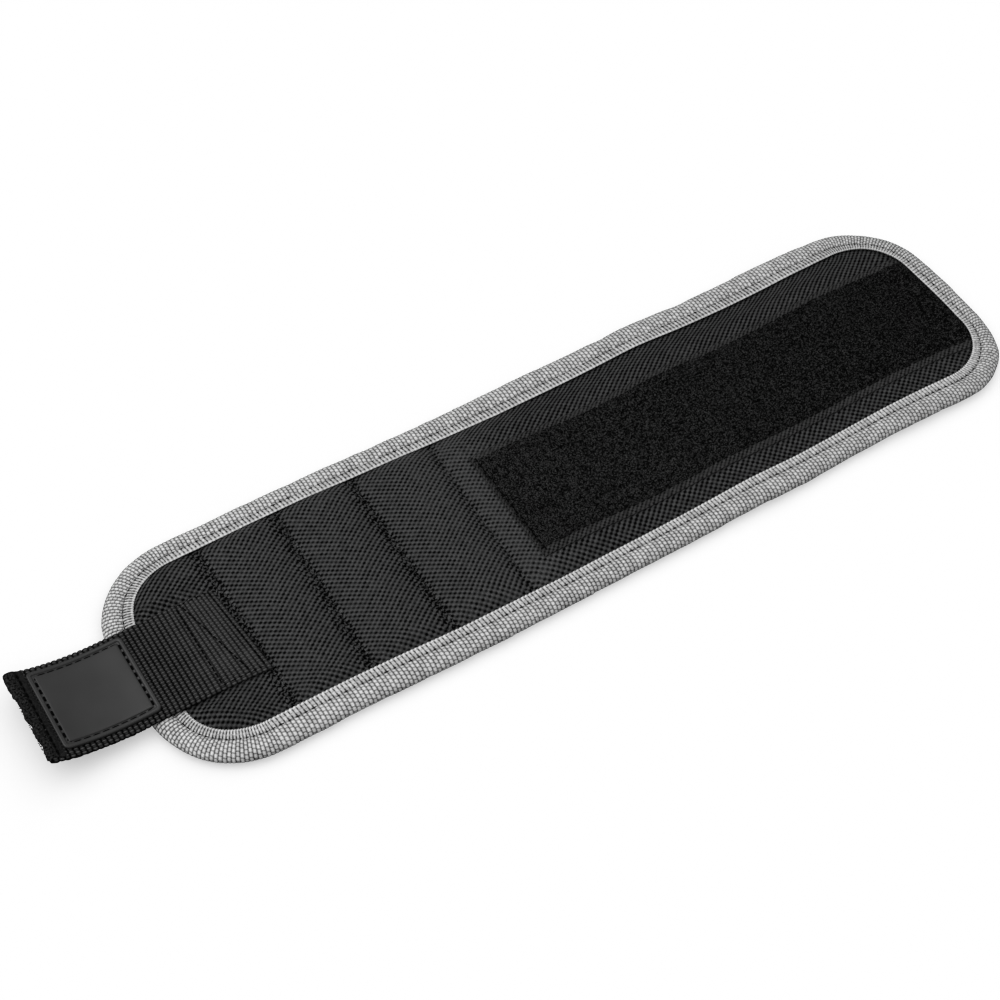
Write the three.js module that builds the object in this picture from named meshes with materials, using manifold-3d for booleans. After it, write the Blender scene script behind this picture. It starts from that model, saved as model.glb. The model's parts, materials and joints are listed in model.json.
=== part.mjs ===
// Magnetic wristband, laid open and flat with its outer face up.
// Millimetres, +Z up. The origin is the middle of the wrist side, and +X runs
// along the band towards the end of the loop panel, away from the closing tab.
import * as THREE from 'three';
import { mergeVertices } from 'three/addons/utils/BufferGeometryUtils.js';
import Module from 'manifold-3d';

// ---- Outline of the band ----
const BAND_LENGTH = 345;
const BAND_WIDTH = 96;
const CORNER_TAB_END = 32; // outline radius at the tab end
const CORNER_LOOP_END = 30.5; // outline radius at the loop end

// ---- Fold lines across the band: four sewn creases, five folds of the loop zone ----
const CREASES = [-129.8, -100.6, -70.5, -39.7];
const LOOP_FOLDS = [-6, 32.6, 71.2, 109.9, 148.5];
const FOLD_GAP = 0.4;

// ---- Edge binding: a tape folded round the edge ----
const BINDING_WIDTH = 10.8;
const BINDING_HEIGHT = 4.8;
const BINDING_WALL = 1.0;
const BINDING_FOLD_LOW = 0.9; // top of the lower flange
const BINDING_FOLD_HIGH = 3.8; // underside of the upper flange

// ---- Lining: foam-backed mesh on the wrist side ----
const LINING_INSET = 11.6;
const LINING_TOP_MAGNETS = 2.4;
const LINING_TOP_LOOP = 3.4;
const LINING_LIP = [1.2, 2.3];

// ---- Cover: outer fabric, raised over the magnets ----
const EDGE_LIP_INSET = 1.4; // how far the lips reach into the binding
const COVER_LIP = [2.6, 3.4];
const COVER_INSET = 11.8;
const COVER_CAVITY_INSET = 12.6;
const COVER_TOP_MAGNETS = 6.7;
const COVER_TOP_LOOP = 4.5;
const COVER_TOP_END = 4.9; // beside the binding at the tab end
const COVER_SLOPE_END = -154.5; // full height from here on
const COVER_STEP = [-8, 14]; // slope from the magnet zone to the loop zone
const COVER_CLOTH = 0.75;

// ---- Magnets: flat discs lying between the lining and the cover, two in each channel ----
const MAGNET_RADIUS = 8;
const MAGNET_BOTTOM = 2.7;
const MAGNET_THICKNESS = 2.2;
const MAGNET_COLUMNS = [-142.9, -115.2, -85.5, -55.1, -24.7];
const MAGNET_ROWS = { near: -18, far: 18 };

// ---- Loop panel: 50 mm tape on the outer face ----
const LOOP_START = -30.9;
const LOOP_NEAR = -29;
const LOOP_FAR = 21;
const LOOP_INSET = 11.2;
const LOOP_LIFT = 0.3;
const LOOP_THICKNESS = 1.4;

// ---- Closing tab: 38 mm webbing with hook strip and badge ----
const TAB_WIDTH = 38;
const TAB_THICKNESS = 1.6;
const TAB_FLEX_X = -165; // where the free end of the webbing bends
const TAB_FLEX_Z = 6.95;
const TAB_LENGTH = 42.2; // free length beyond the bend
const TAB_RISE = 5.5; // degrees that the free end lifts
const TAB_GAP = 0.3;
const TAB_ROOT_END = [-133.6, -130.6]; // inner end at the far and near edge
const HOOK_SPAN = [-41.2, -11];
const HOOK_WIDTH = 36.6;
const HOOK_THICKNESS = 1.7;
const BADGE_SPAN = [-34.3, -3.6];
const BADGE_WIDTH = 33;
const BADGE_CORNER = 2.2;
const BADGE_THICKNESS = 1.2;
const BADGE_RIM = 1.3;
const BADGE_RIM_HEIGHT = 0.3;

const wasm = await Module();
wasm.setup();

// A closed geometry as a solid for joining and cutting.
function solid(geometry) {
  const bare = geometry.index ? geometry.toNonIndexed() : geometry.clone();
  for (const key of Object.keys(bare.attributes)) {
    if (key !== 'position') bare.deleteAttribute(key);
  }
  const merged = mergeVertices(bare, 1e-4);
  return new wasm.Manifold(
    new wasm.Mesh({
      numProp: 3,
      vertProperties: new Float32Array(merged.attributes.position.array),
      triVerts: new Uint32Array(merged.index.array),
    }),
  );
}

function block(x0, x1, y0, y1, z0, z1) {
  const g = new THREE.BoxGeometry(x1 - x0, y1 - y0, z1 - z0);
  g.translate((x0 + x1) / 2, (y0 + y1) / 2, (z0 + z1) / 2);
  return solid(g);
}

// The band's outline, drawn in by an inset: a rectangle with round corners.
function bandOutline(inset) {
  const x = BAND_LENGTH / 2 - inset;
  const y = BAND_WIDTH / 2 - inset;
  const l = CORNER_TAB_END - inset;
  const r = CORNER_LOOP_END - inset;
  const s = new THREE.Shape();
  s.moveTo(-x + l, -y);
  s.lineTo(x - r, -y);
  s.absarc(x - r, -y + r, r, -Math.PI / 2, 0, false);
  s.lineTo(x, y - r);
  s.absarc(x - r, y - r, r, 0, Math.PI / 2, false);
  s.lineTo(-x + l, y);
  s.absarc(-x + l, y - l, l, Math.PI / 2, Math.PI, false);
  s.lineTo(-x, -y + l);
  s.absarc(-x + l, -y + l, l, Math.PI, 1.5 * Math.PI, false);
  return s;
}

// The outline as a plate between two heights.
function plate(inset, z0, z1) {
  const g = new THREE.ExtrudeGeometry(bandOutline(inset), {
    depth: z1 - z0,
    bevelEnabled: false,
    curveSegments: 8,
  });
  g.translate(0, 0, z0);
  return solid(g);
}

// A lengthwise profile, drawn as X and Z, carried across from y0 to y1.
function lengthwise(points, y0, y1) {
  const s = new THREE.Shape(points.map(([x, z]) => new THREE.Vector2(x, z)));
  const g = new THREE.ExtrudeGeometry(s, { depth: y1 - y0, bevelEnabled: false });
  g.rotateX(Math.PI / 2);
  g.translate(0, y1, 0);
  return solid(g);
}

function disc(radius, x, y, z0, z1, sides) {
  const g = new THREE.CylinderGeometry(radius, radius, z1 - z0, sides);
  g.rotateX(Math.PI / 2);
  g.translate(x, y, (z0 + z1) / 2);
  return solid(g);
}

// ---- Materials ----
const look = (color, roughness, metalness) =>
  new THREE.MeshStandardMaterial({ color, roughness, metalness });
const COVER_CLOTH_LOOK = look(0x2b2b2d, 0.75, 0);
const BINDING_LOOK = look(0xa9aaac, 0.8, 0);
const LINING_LOOK = look(0x1f1f21, 0.9, 0);
const MAGNET_LOOK = look(0xc4c6c8, 0.3, 1);
const LOOP_LOOK = look(0x141415, 0.95, 0);
const WEBBING_LOOK = look(0x1b1b1c, 0.7, 0);
const HOOK_LOOK = look(0x171718, 0.6, 0);
const BADGE_LOOK = look(0x2f3032, 0.5, 0);

const band = new THREE.Group();
band.name = 'magnetic_wristband';

function add(name, shape, material, parent = band) {
  const m = shape.getMesh();
  const g = new THREE.BufferGeometry();
  g.setAttribute('position', new THREE.BufferAttribute(new Float32Array(m.vertProperties), 3));
  g.setIndex(new THREE.BufferAttribute(new Uint32Array(m.triVerts), 1));
  g.computeVertexNormals();
  const mesh = new THREE.Mesh(g, material);
  mesh.name = name;
  parent.add(mesh);
  return mesh;
}

// ---- Whole layers, before they are divided at the folds ----
const halfX = BAND_LENGTH / 2;
const halfY = BAND_WIDTH / 2;

// Height of the outer face along the band, and the same line lowered by a drop.
const faceLine = (drop) => [
  [-halfX + COVER_INSET - 1, COVER_TOP_END - drop],
  [-halfX + COVER_INSET, COVER_TOP_END - drop],
  [COVER_SLOPE_END, COVER_TOP_MAGNETS - drop],
  [COVER_STEP[0], COVER_TOP_MAGNETS - drop],
  [COVER_STEP[1], COVER_TOP_LOOP - drop],
  [halfX, COVER_TOP_LOOP - drop],
];
const underFace = (drop, floor) =>
  lengthwise([[halfX, floor], ...faceLine(drop).reverse(), [-halfX + COVER_INSET - 1, floor]].reverse(), -halfY, halfY);

const coverLayer = plate(EDGE_LIP_INSET, COVER_LIP[0], COVER_LIP[1])
  .add(plate(COVER_INSET, COVER_LIP[0], 12).intersect(underFace(0, 1)))
  .subtract(plate(COVER_CAVITY_INSET, -1, 12).intersect(underFace(COVER_CLOTH, -0.5)));

const liningRise = lengthwise(
  [
    [-halfX, 1.6],
    [halfX, 1.6],
    [halfX, LINING_TOP_LOOP],
    [COVER_STEP[1] + 1, LINING_TOP_LOOP],
    [COVER_STEP[0] - 1, LINING_TOP_MAGNETS],
    [-halfX, LINING_TOP_MAGNETS],
  ],
  -halfY,
  halfY,
);
const liningLayer = plate(LINING_INSET, 0, LINING_LIP[1])
  .add(plate(EDGE_LIP_INSET, LINING_LIP[0], LINING_LIP[1]))
  .add(plate(COVER_CAVITY_INSET + 0.4, 1.5, 12).intersect(liningRise));

const bindingLayer = plate(0, 0, BINDING_HEIGHT)
  .subtract(plate(BINDING_WIDTH, -1, BINDING_HEIGHT + 1))
  .subtract(plate(BINDING_WALL, BINDING_FOLD_LOW, BINDING_FOLD_HIGH));

const loopLine = (lift) => [
  [LOOP_START, COVER_TOP_MAGNETS + lift],
  [COVER_STEP[0], COVER_TOP_MAGNETS + lift],
  [COVER_STEP[1], COVER_TOP_LOOP + lift],
  [halfX, COVER_TOP_LOOP + lift],
];
const loopLayer = lengthwise(
  [...loopLine(LOOP_LIFT), ...loopLine(LOOP_LIFT + LOOP_THICKNESS).reverse()],
  LOOP_NEAR,
  LOOP_FAR,
).intersect(plate(LOOP_INSET, 0, 14));

// ---- Divided at the folds: one length of band between each two fold lines ----
const folds = [...CREASES, ...LOOP_FOLDS];
const cuts = [-halfX - 5, ...folds, halfX + 5];
for (let i = 1; i < cuts.length; i += 1) {
  const x0 = cuts[i - 1] + FOLD_GAP / 2;
  const x1 = cuts[i] - FOLD_GAP / 2;
  const whole = () => block(x0, x1, -halfY - 5, halfY + 5, -2, 20);
  add(`lining_${i}`, liningLayer.intersect(whole()), LINING_LOOK);
  add(`cover_${i}`, coverLayer.intersect(whole()), COVER_CLOTH_LOOK);
  if (i === 1) {
    add('binding_tab_end', bindingLayer.intersect(whole()), BINDING_LOOK);
  } else if (i === cuts.length - 1) {
    add('binding_loop_end', bindingLayer.intersect(whole()), BINDING_LOOK);
  } else {
    add(`binding_near_${i}`, bindingLayer.intersect(block(x0, x1, -halfY - 5, 0, -2, 20)), BINDING_LOOK);
    add(`binding_far_${i}`, bindingLayer.intersect(block(x0, x1, 0, halfY + 5, -2, 20)), BINDING_LOOK);
  }
  if (x1 > LOOP_START) {
    add(`loop_panel_${i}`, loopLayer.intersect(whole()), LOOP_LOOK);
  }
}

// ---- Magnets, two in each sewn channel ----
const magnetTop = MAGNET_BOTTOM + MAGNET_THICKNESS;
MAGNET_COLUMNS.forEach((x, k) => {
  for (const [row, y] of Object.entries(MAGNET_ROWS)) {
    add(`magnet_${k + 1}_${row}`, disc(MAGNET_RADIUS, x, y, MAGNET_BOTTOM, magnetTop, 32), MAGNET_LOOK);
  }
});

// ---- Closing tab ----
// The sewn root follows the cover down to the binding.
const rootEdge = BINDING_HEIGHT + 0.55;
const rootTop = COVER_TOP_MAGNETS + TAB_GAP;
const rootLine = [
  [TAB_FLEX_X + TAB_GAP, rootEdge],
  [-161.3, rootEdge],
  [COVER_SLOPE_END, rootTop],
  [-120, rootTop],
];
const rootPlan = new THREE.Shape([
  new THREE.Vector2(-180, -TAB_WIDTH / 2),
  new THREE.Vector2(TAB_ROOT_END[1], -TAB_WIDTH / 2),
  new THREE.Vector2(TAB_ROOT_END[0], TAB_WIDTH / 2),
  new THREE.Vector2(-180, TAB_WIDTH / 2),
]);
const rootOutline = solid(new THREE.ExtrudeGeometry(rootPlan, { depth: 20, bevelEnabled: false }));
add(
  'tab_root',
  lengthwise(
    [...rootLine, ...rootLine.map(([x, z]) => [x, z + TAB_THICKNESS]).reverse()],
    -TAB_WIDTH,
    TAB_WIDTH,
  ).intersect(rootOutline),
  WEBBING_LOOK,
);

// The free end turns about the top of the webbing, and carries the hook strip and the badge.
const tab = new THREE.Group();
tab.position.set(TAB_FLEX_X, 0, TAB_FLEX_Z);
tab.rotation.y = THREE.MathUtils.degToRad(TAB_RISE);
band.add(tab);

add(
  'tab_webbing',
  block(-TAB_LENGTH, -TAB_GAP, -TAB_WIDTH / 2, TAB_WIDTH / 2, -TAB_THICKNESS, 0),
  WEBBING_LOOK,
  tab,
);
const hookTop = -TAB_THICKNESS - TAB_GAP;
add(
  'hook_strip',
  block(HOOK_SPAN[0], HOOK_SPAN[1], -HOOK_WIDTH / 2, HOOK_WIDTH / 2, hookTop - HOOK_THICKNESS, hookTop),
  HOOK_LOOK,
  tab,
);

// The badge: a plate with a raised rim.
function badgeOutline(inset) {
  const x0 = BADGE_SPAN[0] + inset;
  const x1 = BADGE_SPAN[1] - inset;
  const y = BADGE_WIDTH / 2 - inset;
  const r = BADGE_CORNER - inset * 0.6;
  const s = new THREE.Shape();
  s.moveTo(x0 + r, -y);
  s.lineTo(x1 - r, -y);
  s.absarc(x1 - r, -y + r, r, -Math.PI / 2, 0, false);
  s.lineTo(x1, y - r);
  s.absarc(x1 - r, y - r, r, 0, Math.PI / 2, false);
  s.lineTo(x0 + r, y);
  s.absarc(x0 + r, y - r, r, Math.PI / 2, Math.PI, false);
  s.lineTo(x0, -y + r);
  s.absarc(x0 + r, -y + r, r, Math.PI, 1.5 * Math.PI, false);
  return s;
}
function badgePlate(inset, z0, z1) {
  const g = new THREE.ExtrudeGeometry(badgeOutline(inset), {
    depth: z1 - z0,
    bevelEnabled: false,
    curveSegments: 5,
  });
  g.translate(0, 0, z0);
  return solid(g);
}
add(
  'badge',
  badgePlate(0, TAB_GAP, TAB_GAP + BADGE_THICKNESS).subtract(
    badgePlate(BADGE_RIM, TAB_GAP + BADGE_THICKNESS - BADGE_RIM_HEIGHT, TAB_GAP + BADGE_THICKNESS + 1),
  ),
  BADGE_LOOK,
  tab,
);

export default band;
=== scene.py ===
import json
import math

import bpy
import numpy as np
from mathutils import Matrix, Vector

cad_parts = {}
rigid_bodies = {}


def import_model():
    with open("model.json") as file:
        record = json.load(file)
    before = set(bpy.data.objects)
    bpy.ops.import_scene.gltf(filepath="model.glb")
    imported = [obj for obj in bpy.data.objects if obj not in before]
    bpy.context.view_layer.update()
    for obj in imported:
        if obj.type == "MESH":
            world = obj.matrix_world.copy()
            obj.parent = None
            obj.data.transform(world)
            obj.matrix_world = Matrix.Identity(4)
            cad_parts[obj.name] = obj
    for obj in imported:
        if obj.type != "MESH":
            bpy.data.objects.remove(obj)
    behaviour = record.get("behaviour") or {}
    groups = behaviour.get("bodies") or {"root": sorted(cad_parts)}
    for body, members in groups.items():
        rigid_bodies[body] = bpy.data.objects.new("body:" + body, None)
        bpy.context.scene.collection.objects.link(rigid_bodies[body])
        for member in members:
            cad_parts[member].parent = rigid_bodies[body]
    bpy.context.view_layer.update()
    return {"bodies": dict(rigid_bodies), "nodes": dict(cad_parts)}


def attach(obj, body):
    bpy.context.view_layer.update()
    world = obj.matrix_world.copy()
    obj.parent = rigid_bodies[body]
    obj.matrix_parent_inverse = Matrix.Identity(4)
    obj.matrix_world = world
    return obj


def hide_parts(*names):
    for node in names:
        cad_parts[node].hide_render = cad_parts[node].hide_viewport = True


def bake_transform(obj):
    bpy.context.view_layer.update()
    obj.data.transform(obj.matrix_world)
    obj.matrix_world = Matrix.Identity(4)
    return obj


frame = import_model()

MM = 0.001

# ---------------------------------------------------------------- layout
HALF_X, HALF_Y = 172.5, 48.0
R_TAB, R_LOOP = 32.0, 30.5
CREASES = [-129.8, -100.6, -70.5, -39.7]
CREASE_SLANT = [-0.25, 0.65, 0.0, 0.85]  # mm of X at the far edge, less at the near edge
# The band bends at nine folds. A soft layer is cut between folds into nine stretches.
EDGES = [-172.5, -115.2, -85.55, -55.1, -22.85, 13.3, 51.9, 90.55, 129.2, 172.5]
STRETCHES = range(1, 10)


# ---------------------------------------------------------------- small maths
def smooth(t):
    t = np.clip(t, 0.0, 1.0)
    return t * t * (3 - 2 * t)


def bell(x, centre, width):
    return np.exp(-(((x - centre) / width) ** 2))


def chance(i, j, seed):
    h = np.sin(i * 127.1 + j * 311.7 + seed * 74.7) * 43758.5453
    return h - np.floor(h)


def lumps(x, y, seed=0):
    """Smooth noise from -1 to 1, with features about one unit across."""
    i, j = np.floor(x), np.floor(y)
    a, b = smooth(x - i), smooth(y - j)
    low = chance(i, j, seed) * (1 - a) + chance(i + 1, j, seed) * a
    high = chance(i, j + 1, seed) * (1 - a) + chance(i + 1, j + 1, seed) * a
    return 2 * (low * (1 - b) + high * b) - 1


def steps(a, b, step):
    return np.linspace(a, b, max(2, int(round(abs(b - a) / step)) + 1))


def curve_through(points, n):
    """A smooth line of n points through the given ones, evenly spaced along it."""
    p = np.array(points, float)
    q = np.vstack([2 * p[0] - p[1], p, 2 * p[-1] - p[-2]])
    out = []
    for k in range(1, len(q) - 2):
        t = np.linspace(0, 1, 24, endpoint=False)[:, None]
        a, b, c, d = q[k - 1], q[k], q[k + 1], q[k + 2]
        out.append(0.5 * (2 * b + (c - a) * t + (2 * a - 5 * b + 4 * c - d) * t**2 + (3 * b - a - 3 * c + d) * t**3))
    fine = np.vstack(out + [p[-1:]])
    at = np.concatenate([[0], np.cumsum(np.linalg.norm(np.diff(fine, axis=0), axis=1))])
    want = np.linspace(0, at[-1], n)
    return np.stack([np.interp(want, at, fine[:, k]) for k in range(p.shape[1])], 1)


def half_width(x, inset):
    hx, hy = HALF_X - inset, HALF_Y - inset
    rl, rr = R_TAB - inset, R_LOOP - inset
    left = np.clip(-(x + hx - rl), 0, rl)
    right = np.clip(x - hx + rr, 0, rr)
    return np.where(
        left > 0,
        hy - rl + np.sqrt(np.maximum(rl * rl - left * left, 0)),
        hy - rr + np.sqrt(np.maximum(rr * rr - right * right, 0)),
    )


def inset_of(x, y):
    """How far a point of the plan lies inside the outline."""
    r = np.where(x < 0, R_TAB, R_LOOP)
    qx, qy = np.abs(x) - (HALF_X - r), np.abs(y) - (HALF_Y - r)
    return r - np.hypot(np.maximum(qx, 0), np.maximum(qy, 0)) - np.minimum(np.maximum(qx, qy), 0)


# How far the tape was set inwards when it was sewn on, in mm: at its fold and at its inner selvedge.
SEWN_X = [-172, -150, -130, -110, -90, -70, -50, -30, -10, 10, 30, 50, 70, 90, 110, 130, 150, 172]
NEAR_FOLD = [1.0, 1.3, 1.4, 1.4, 0.7, 0.1, -0.5, -0.1, 0.5, 0.5, 0.5, 0.5, 0.5, 0.8, 1.1, 1.0, 0.4, -0.2]
NEAR_SELV = [0.6, 1.1, 1.2, 0.9, 0.2, -0.9, -1.4, -1.7, -1.3, -1.2, -0.9, -0.6, -0.8, -0.5, -0.2, -0.2, -0.6, -1.0]
FAR_FOLD = [0.6, 1.0, 1.2, 0.9, 1.0, 1.1, 1.1, 1.3, 1.7, 1.6, 1.4, 1.3, 1.4, 1.3, 1.3, 2.0, 2.5, 2.6]
FAR_SELV = [-0.6, -0.5, -0.5, -0.9, -0.8, 0.0, 0.4, 1.4, 2.2, 2.1, 1.7, 1.5, 2.0, 2.2, 2.4, 2.1, 1.2, 0.0]
SEWN_Y = [-48, -40, -32, -24, -16, -8, 0, 8, 16, 24, 32, 40, 48]
LOOP_FOLD = [0.0, -0.2, 0.8, 1.3, 1.1, 0.6, 0.3, 0.4, 0.6, 1.3, 1.8, 2.5, 2.6]
LOOP_SELV = [-1.5, -1.6, -1.8, -1.9, -2.1, -2.6, -2.8, -2.8, -2.8, -2.3, -2.3, -1.5, 0.0]
TAB_FOLD = [1.0, 0.6, 0.8, 0.5, 0.0, 0.0, 0.0, 0.0, 0.0, 0.0, 0.3, 0.6, 0.6]
TAB_SELV = [0.3, -0.5, -1.0, -0.6, 0.0, 0.0, 0.0, 0.0, 0.0, 0.0, -0.4, -0.5, -0.6]


def sewn_in(x, y):
    """Shift in X and Y that sets the tape and the cloth under it where they were sewn."""
    r = np.where(x < 0, R_TAB, R_LOOP)
    qx, qy = np.abs(x) - (HALF_X - r), np.abs(y) - (HALF_Y - r)
    corner = (qx > 0) & (qy > 0)
    size = np.maximum(np.hypot(qx, qy), 1e-9)
    nx = np.where(corner, qx / size, np.where(qx > qy, 1.0, 0.0))
    ny = np.where(corner, qy / size, np.where(qx > qy, 0.0, 1.0))
    d = inset_of(x, y)
    along_x, along_y = ((lambda at, table, k=k: np.interp(at, k, table)) for k in (SEWN_X, SEWN_Y))
    fold = ny**2 * np.where(y > 0, along_x(x, FAR_FOLD), along_x(x, NEAR_FOLD))
    fold = fold + nx**2 * np.where(x > 0, along_y(y, LOOP_FOLD), along_y(y, TAB_FOLD))
    selv = ny**2 * np.where(y > 0, along_x(x, FAR_SELV), along_x(x, NEAR_SELV))
    selv = selv + nx**2 * np.where(x > 0, along_y(y, LOOP_SELV), along_y(y, TAB_SELV))
    shift = (fold + (selv - fold) * np.clip(d / 11.0, 0, 1)) * (1 - smooth((d - 12.0) / 10.0))
    return -np.sign(x) * nx * shift, -np.sign(y) * ny * shift


def warp(v):
    """The band's slight unevenness as it lies: the loop end waves a little and the edge wanders."""
    v = np.array(v, float)
    dx, dy = sewn_in(v[..., 0], v[..., 1])
    v[..., 0] = v[..., 0] + dx
    x, y = v[..., 0], v[..., 1] + dy
    wave = smooth((x - 12) / 25)
    rise = 0.75 * bell(x, 50, 16) + 0.95 * bell(x, 121, 22)
    lean = 1 + 0.25 * y / 48
    v[..., 2] = v[..., 2] + wave * rise * lean
    side = np.abs(y / 48) ** 3 * np.sign(y)
    wander = 0.35 * np.sin(x / 23.0 + 0.6) + 0.25 * np.sin(x / 11.3 + 2.0)
    kink = -0.55 * bell(x, 42, 3.6) - 0.5 * bell(x, 78, 4.0)  # the tape is folded less evenly at two places of the far edge
    wander = np.where(y > 0, wander, wander * 0.7)
    v[..., 1] = y + side * wander * smooth((150 - np.abs(x)) / 20) + np.where(y > 0, np.abs(y / 48) ** 10 * kink, 0.0)
    return v


# ---------------------------------------------------------------- heights of the layers
def crease_x(k, y):
    return CREASES[k] + CREASE_SLANT[k] * y / 36 + 0.25 * np.sin(y / 7.0 + 1.7 * k)


TAB_TOP = np.array(
    [
        (-210, 13.98),
        (-208, 13.02),
        (-204, 11.33),
        (-200, 9.93),
        (-196, 8.79),
        (-192, 7.91),
        (-188, 7.26),
        (-184, 6.85),
        (-180, 6.64),
        (-176, 6.63),
        (-172, 6.80),
        (-168, 7.02),
        (-163, 7.12),
        (-157, 7.15),
        (-150, 7.4),
        (-144, 7.5),
        (-138, 7.4),
        (-133, 7.1),
        (-129, 6.8),
    ]
)
_tab_line = curve_through(TAB_TOP, 400)


def tab_top(x):
    return np.interp(x, _tab_line[:, 0], _tab_line[:, 1])


def tab_mid(x):
    """Y of the tab's centre line: it is sewn on a little askew."""
    return -0.5 + 0.0225 * (-131.0 - x)


def tab_end(y):
    return -131.75 - 0.094 * y


def face_line(x, y):
    """Height of the outer face away from the edge."""
    bounds = [np.full_like(x, -176.0)] + [crease_x(k, y) for k in range(4)]
    z = np.full_like(x, 5.0)
    crest = [7.2, 7.75, 7.85, 7.8]
    crease = 4.75
    for k in range(4):
        a, b = bounds[k], bounds[k + 1]
        u = np.clip((x - a) / (b - a), 0, 1)
        inside = (x >= a) & (x <= b)
        z = np.where(inside, crease + (crest[k] - crease) * np.sin(np.pi * u**1.22) ** 0.8, z)
    u = np.clip((x - bounds[4]) / 15.0, 0, 1)
    fifth = crease + 2.55 * np.sin(np.pi / 2 * u) ** 0.8
    fifth = fifth + (4.75 - fifth) * smooth((x + 20) / 38)
    z = np.where(x > bounds[4], fifth, z)
    for k in range(4):
        # each stitch pulls a dimple, a little to one side or the other
        pull = np.cos(y * 2 * np.pi / 2.6 + 0.9 * np.sin(y / 5.0 + k) + 1.3 * k)
        c = bounds[k + 1] + 0.35 * np.sin(y * np.pi / 2.6 + 2.1 * k)
        z = z - 0.40 * bell(x, bounds[k + 1], 2.1) - (0.15 + 0.14 * pull) * bell(x, c, 1.1)
    return z


def cover_height(x, y):
    d = inset_of(x, y)
    s = np.clip((d - 10.0) / 8.5, 0, 1)
    rise = 1 - (1 - s) ** 2.3
    centre = face_line(x, y)
    loop = smooth((x - 14) / 24)
    # the filling swells in the middle of the loop zone
    swell = 1.1 * bell(x, 50, 17) + 1.3 * bell(x, 121, 25)
    centre = centre + loop * swell * smooth((d - 10) / 26)
    z = 3.55 + rise * (centre - 3.55)
    # puckers where each sewn line runs under the binding
    for k in range(4):
        c = crease_x(k, y)
        near_end = smooth((22 - d) / 11)
        z = z + 0.42 * near_end * np.sin((x - c) / 0.62 + np.sign(y) * d * 0.5 + 1.2 * k) * bell(x, c, 5.0) * smooth((d - 10.5) / 3)
    z = z + smooth((d - 11) / 6) * (0.10 * lumps(x / 9 + 3, y / 13, 5) + 0.06 * lumps(x / 4.3, y / 5.1, 6))
    # pressed down by the sewn end of the tab
    under = smooth((tab_end(y) + 3.0 - x) / 3.0) * smooth((24.0 - np.abs(y - tab_mid(x))) / 4.5)
    press = tab_top(np.clip(x, -172, -130)) - 1.85
    return np.where(press < z, z + (press - z) * under, z)


# ---------------------------------------------------------------- meshes
def grid_normals(g):
    gi = np.gradient(g, axis=0)
    gj = np.gradient(g, axis=1)
    n = np.cross(gi, gj)
    return n / np.maximum(np.linalg.norm(n, axis=2, keepdims=True), 1e-12)


def build(name, v, quads, normals=None, attrs=None, uv=None, mats=(), mat_index=None, tris=None):
    me = bpy.data.meshes.new(name)
    tris = np.zeros((0, 3), int) if tris is None else np.asarray(tris, int)
    quads = np.asarray(quads, int).reshape(-1, 4)
    loops = np.concatenate([quads.ravel(), tris.ravel()]).astype(np.int32)
    starts = np.concatenate([np.arange(len(quads)) * 4, len(quads) * 4 + np.arange(len(tris)) * 3]).astype(np.int32)
    me.vertices.add(len(v))
    me.vertices.foreach_set("co", (np.asarray(v, float) * MM).astype(np.float32).ravel())
    me.loops.add(len(loops))
    me.loops.foreach_set("vertex_index", loops)
    me.polygons.add(len(starts))
    me.polygons.foreach_set("loop_start", starts)
    for m in mats:
        me.materials.append(m)
    if mat_index is not None:
        me.polygons.foreach_set("material_index", np.asarray(mat_index, np.int32))
    me.update(calc_edges=True)
    me.polygons.foreach_set("use_smooth", np.ones(len(starts), bool))
    for key, value in (attrs or {}).items():
        a = me.attributes.new(key, "FLOAT_VECTOR", "POINT")
        a.data.foreach_set("vector", np.asarray(value, np.float32).ravel())
    if uv is not None:
        layer = me.uv_layers.new(name="OFBake")
        layer.uv.foreach_set("vector", np.asarray(uv, np.float32)[loops].ravel())
    if normals is not None:
        me.normals_split_custom_set_from_vertices(np.asarray(normals, np.float32))
    ob = bpy.data.objects.new(name, me)
    bpy.context.scene.collection.objects.link(ob)
    return ob


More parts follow.
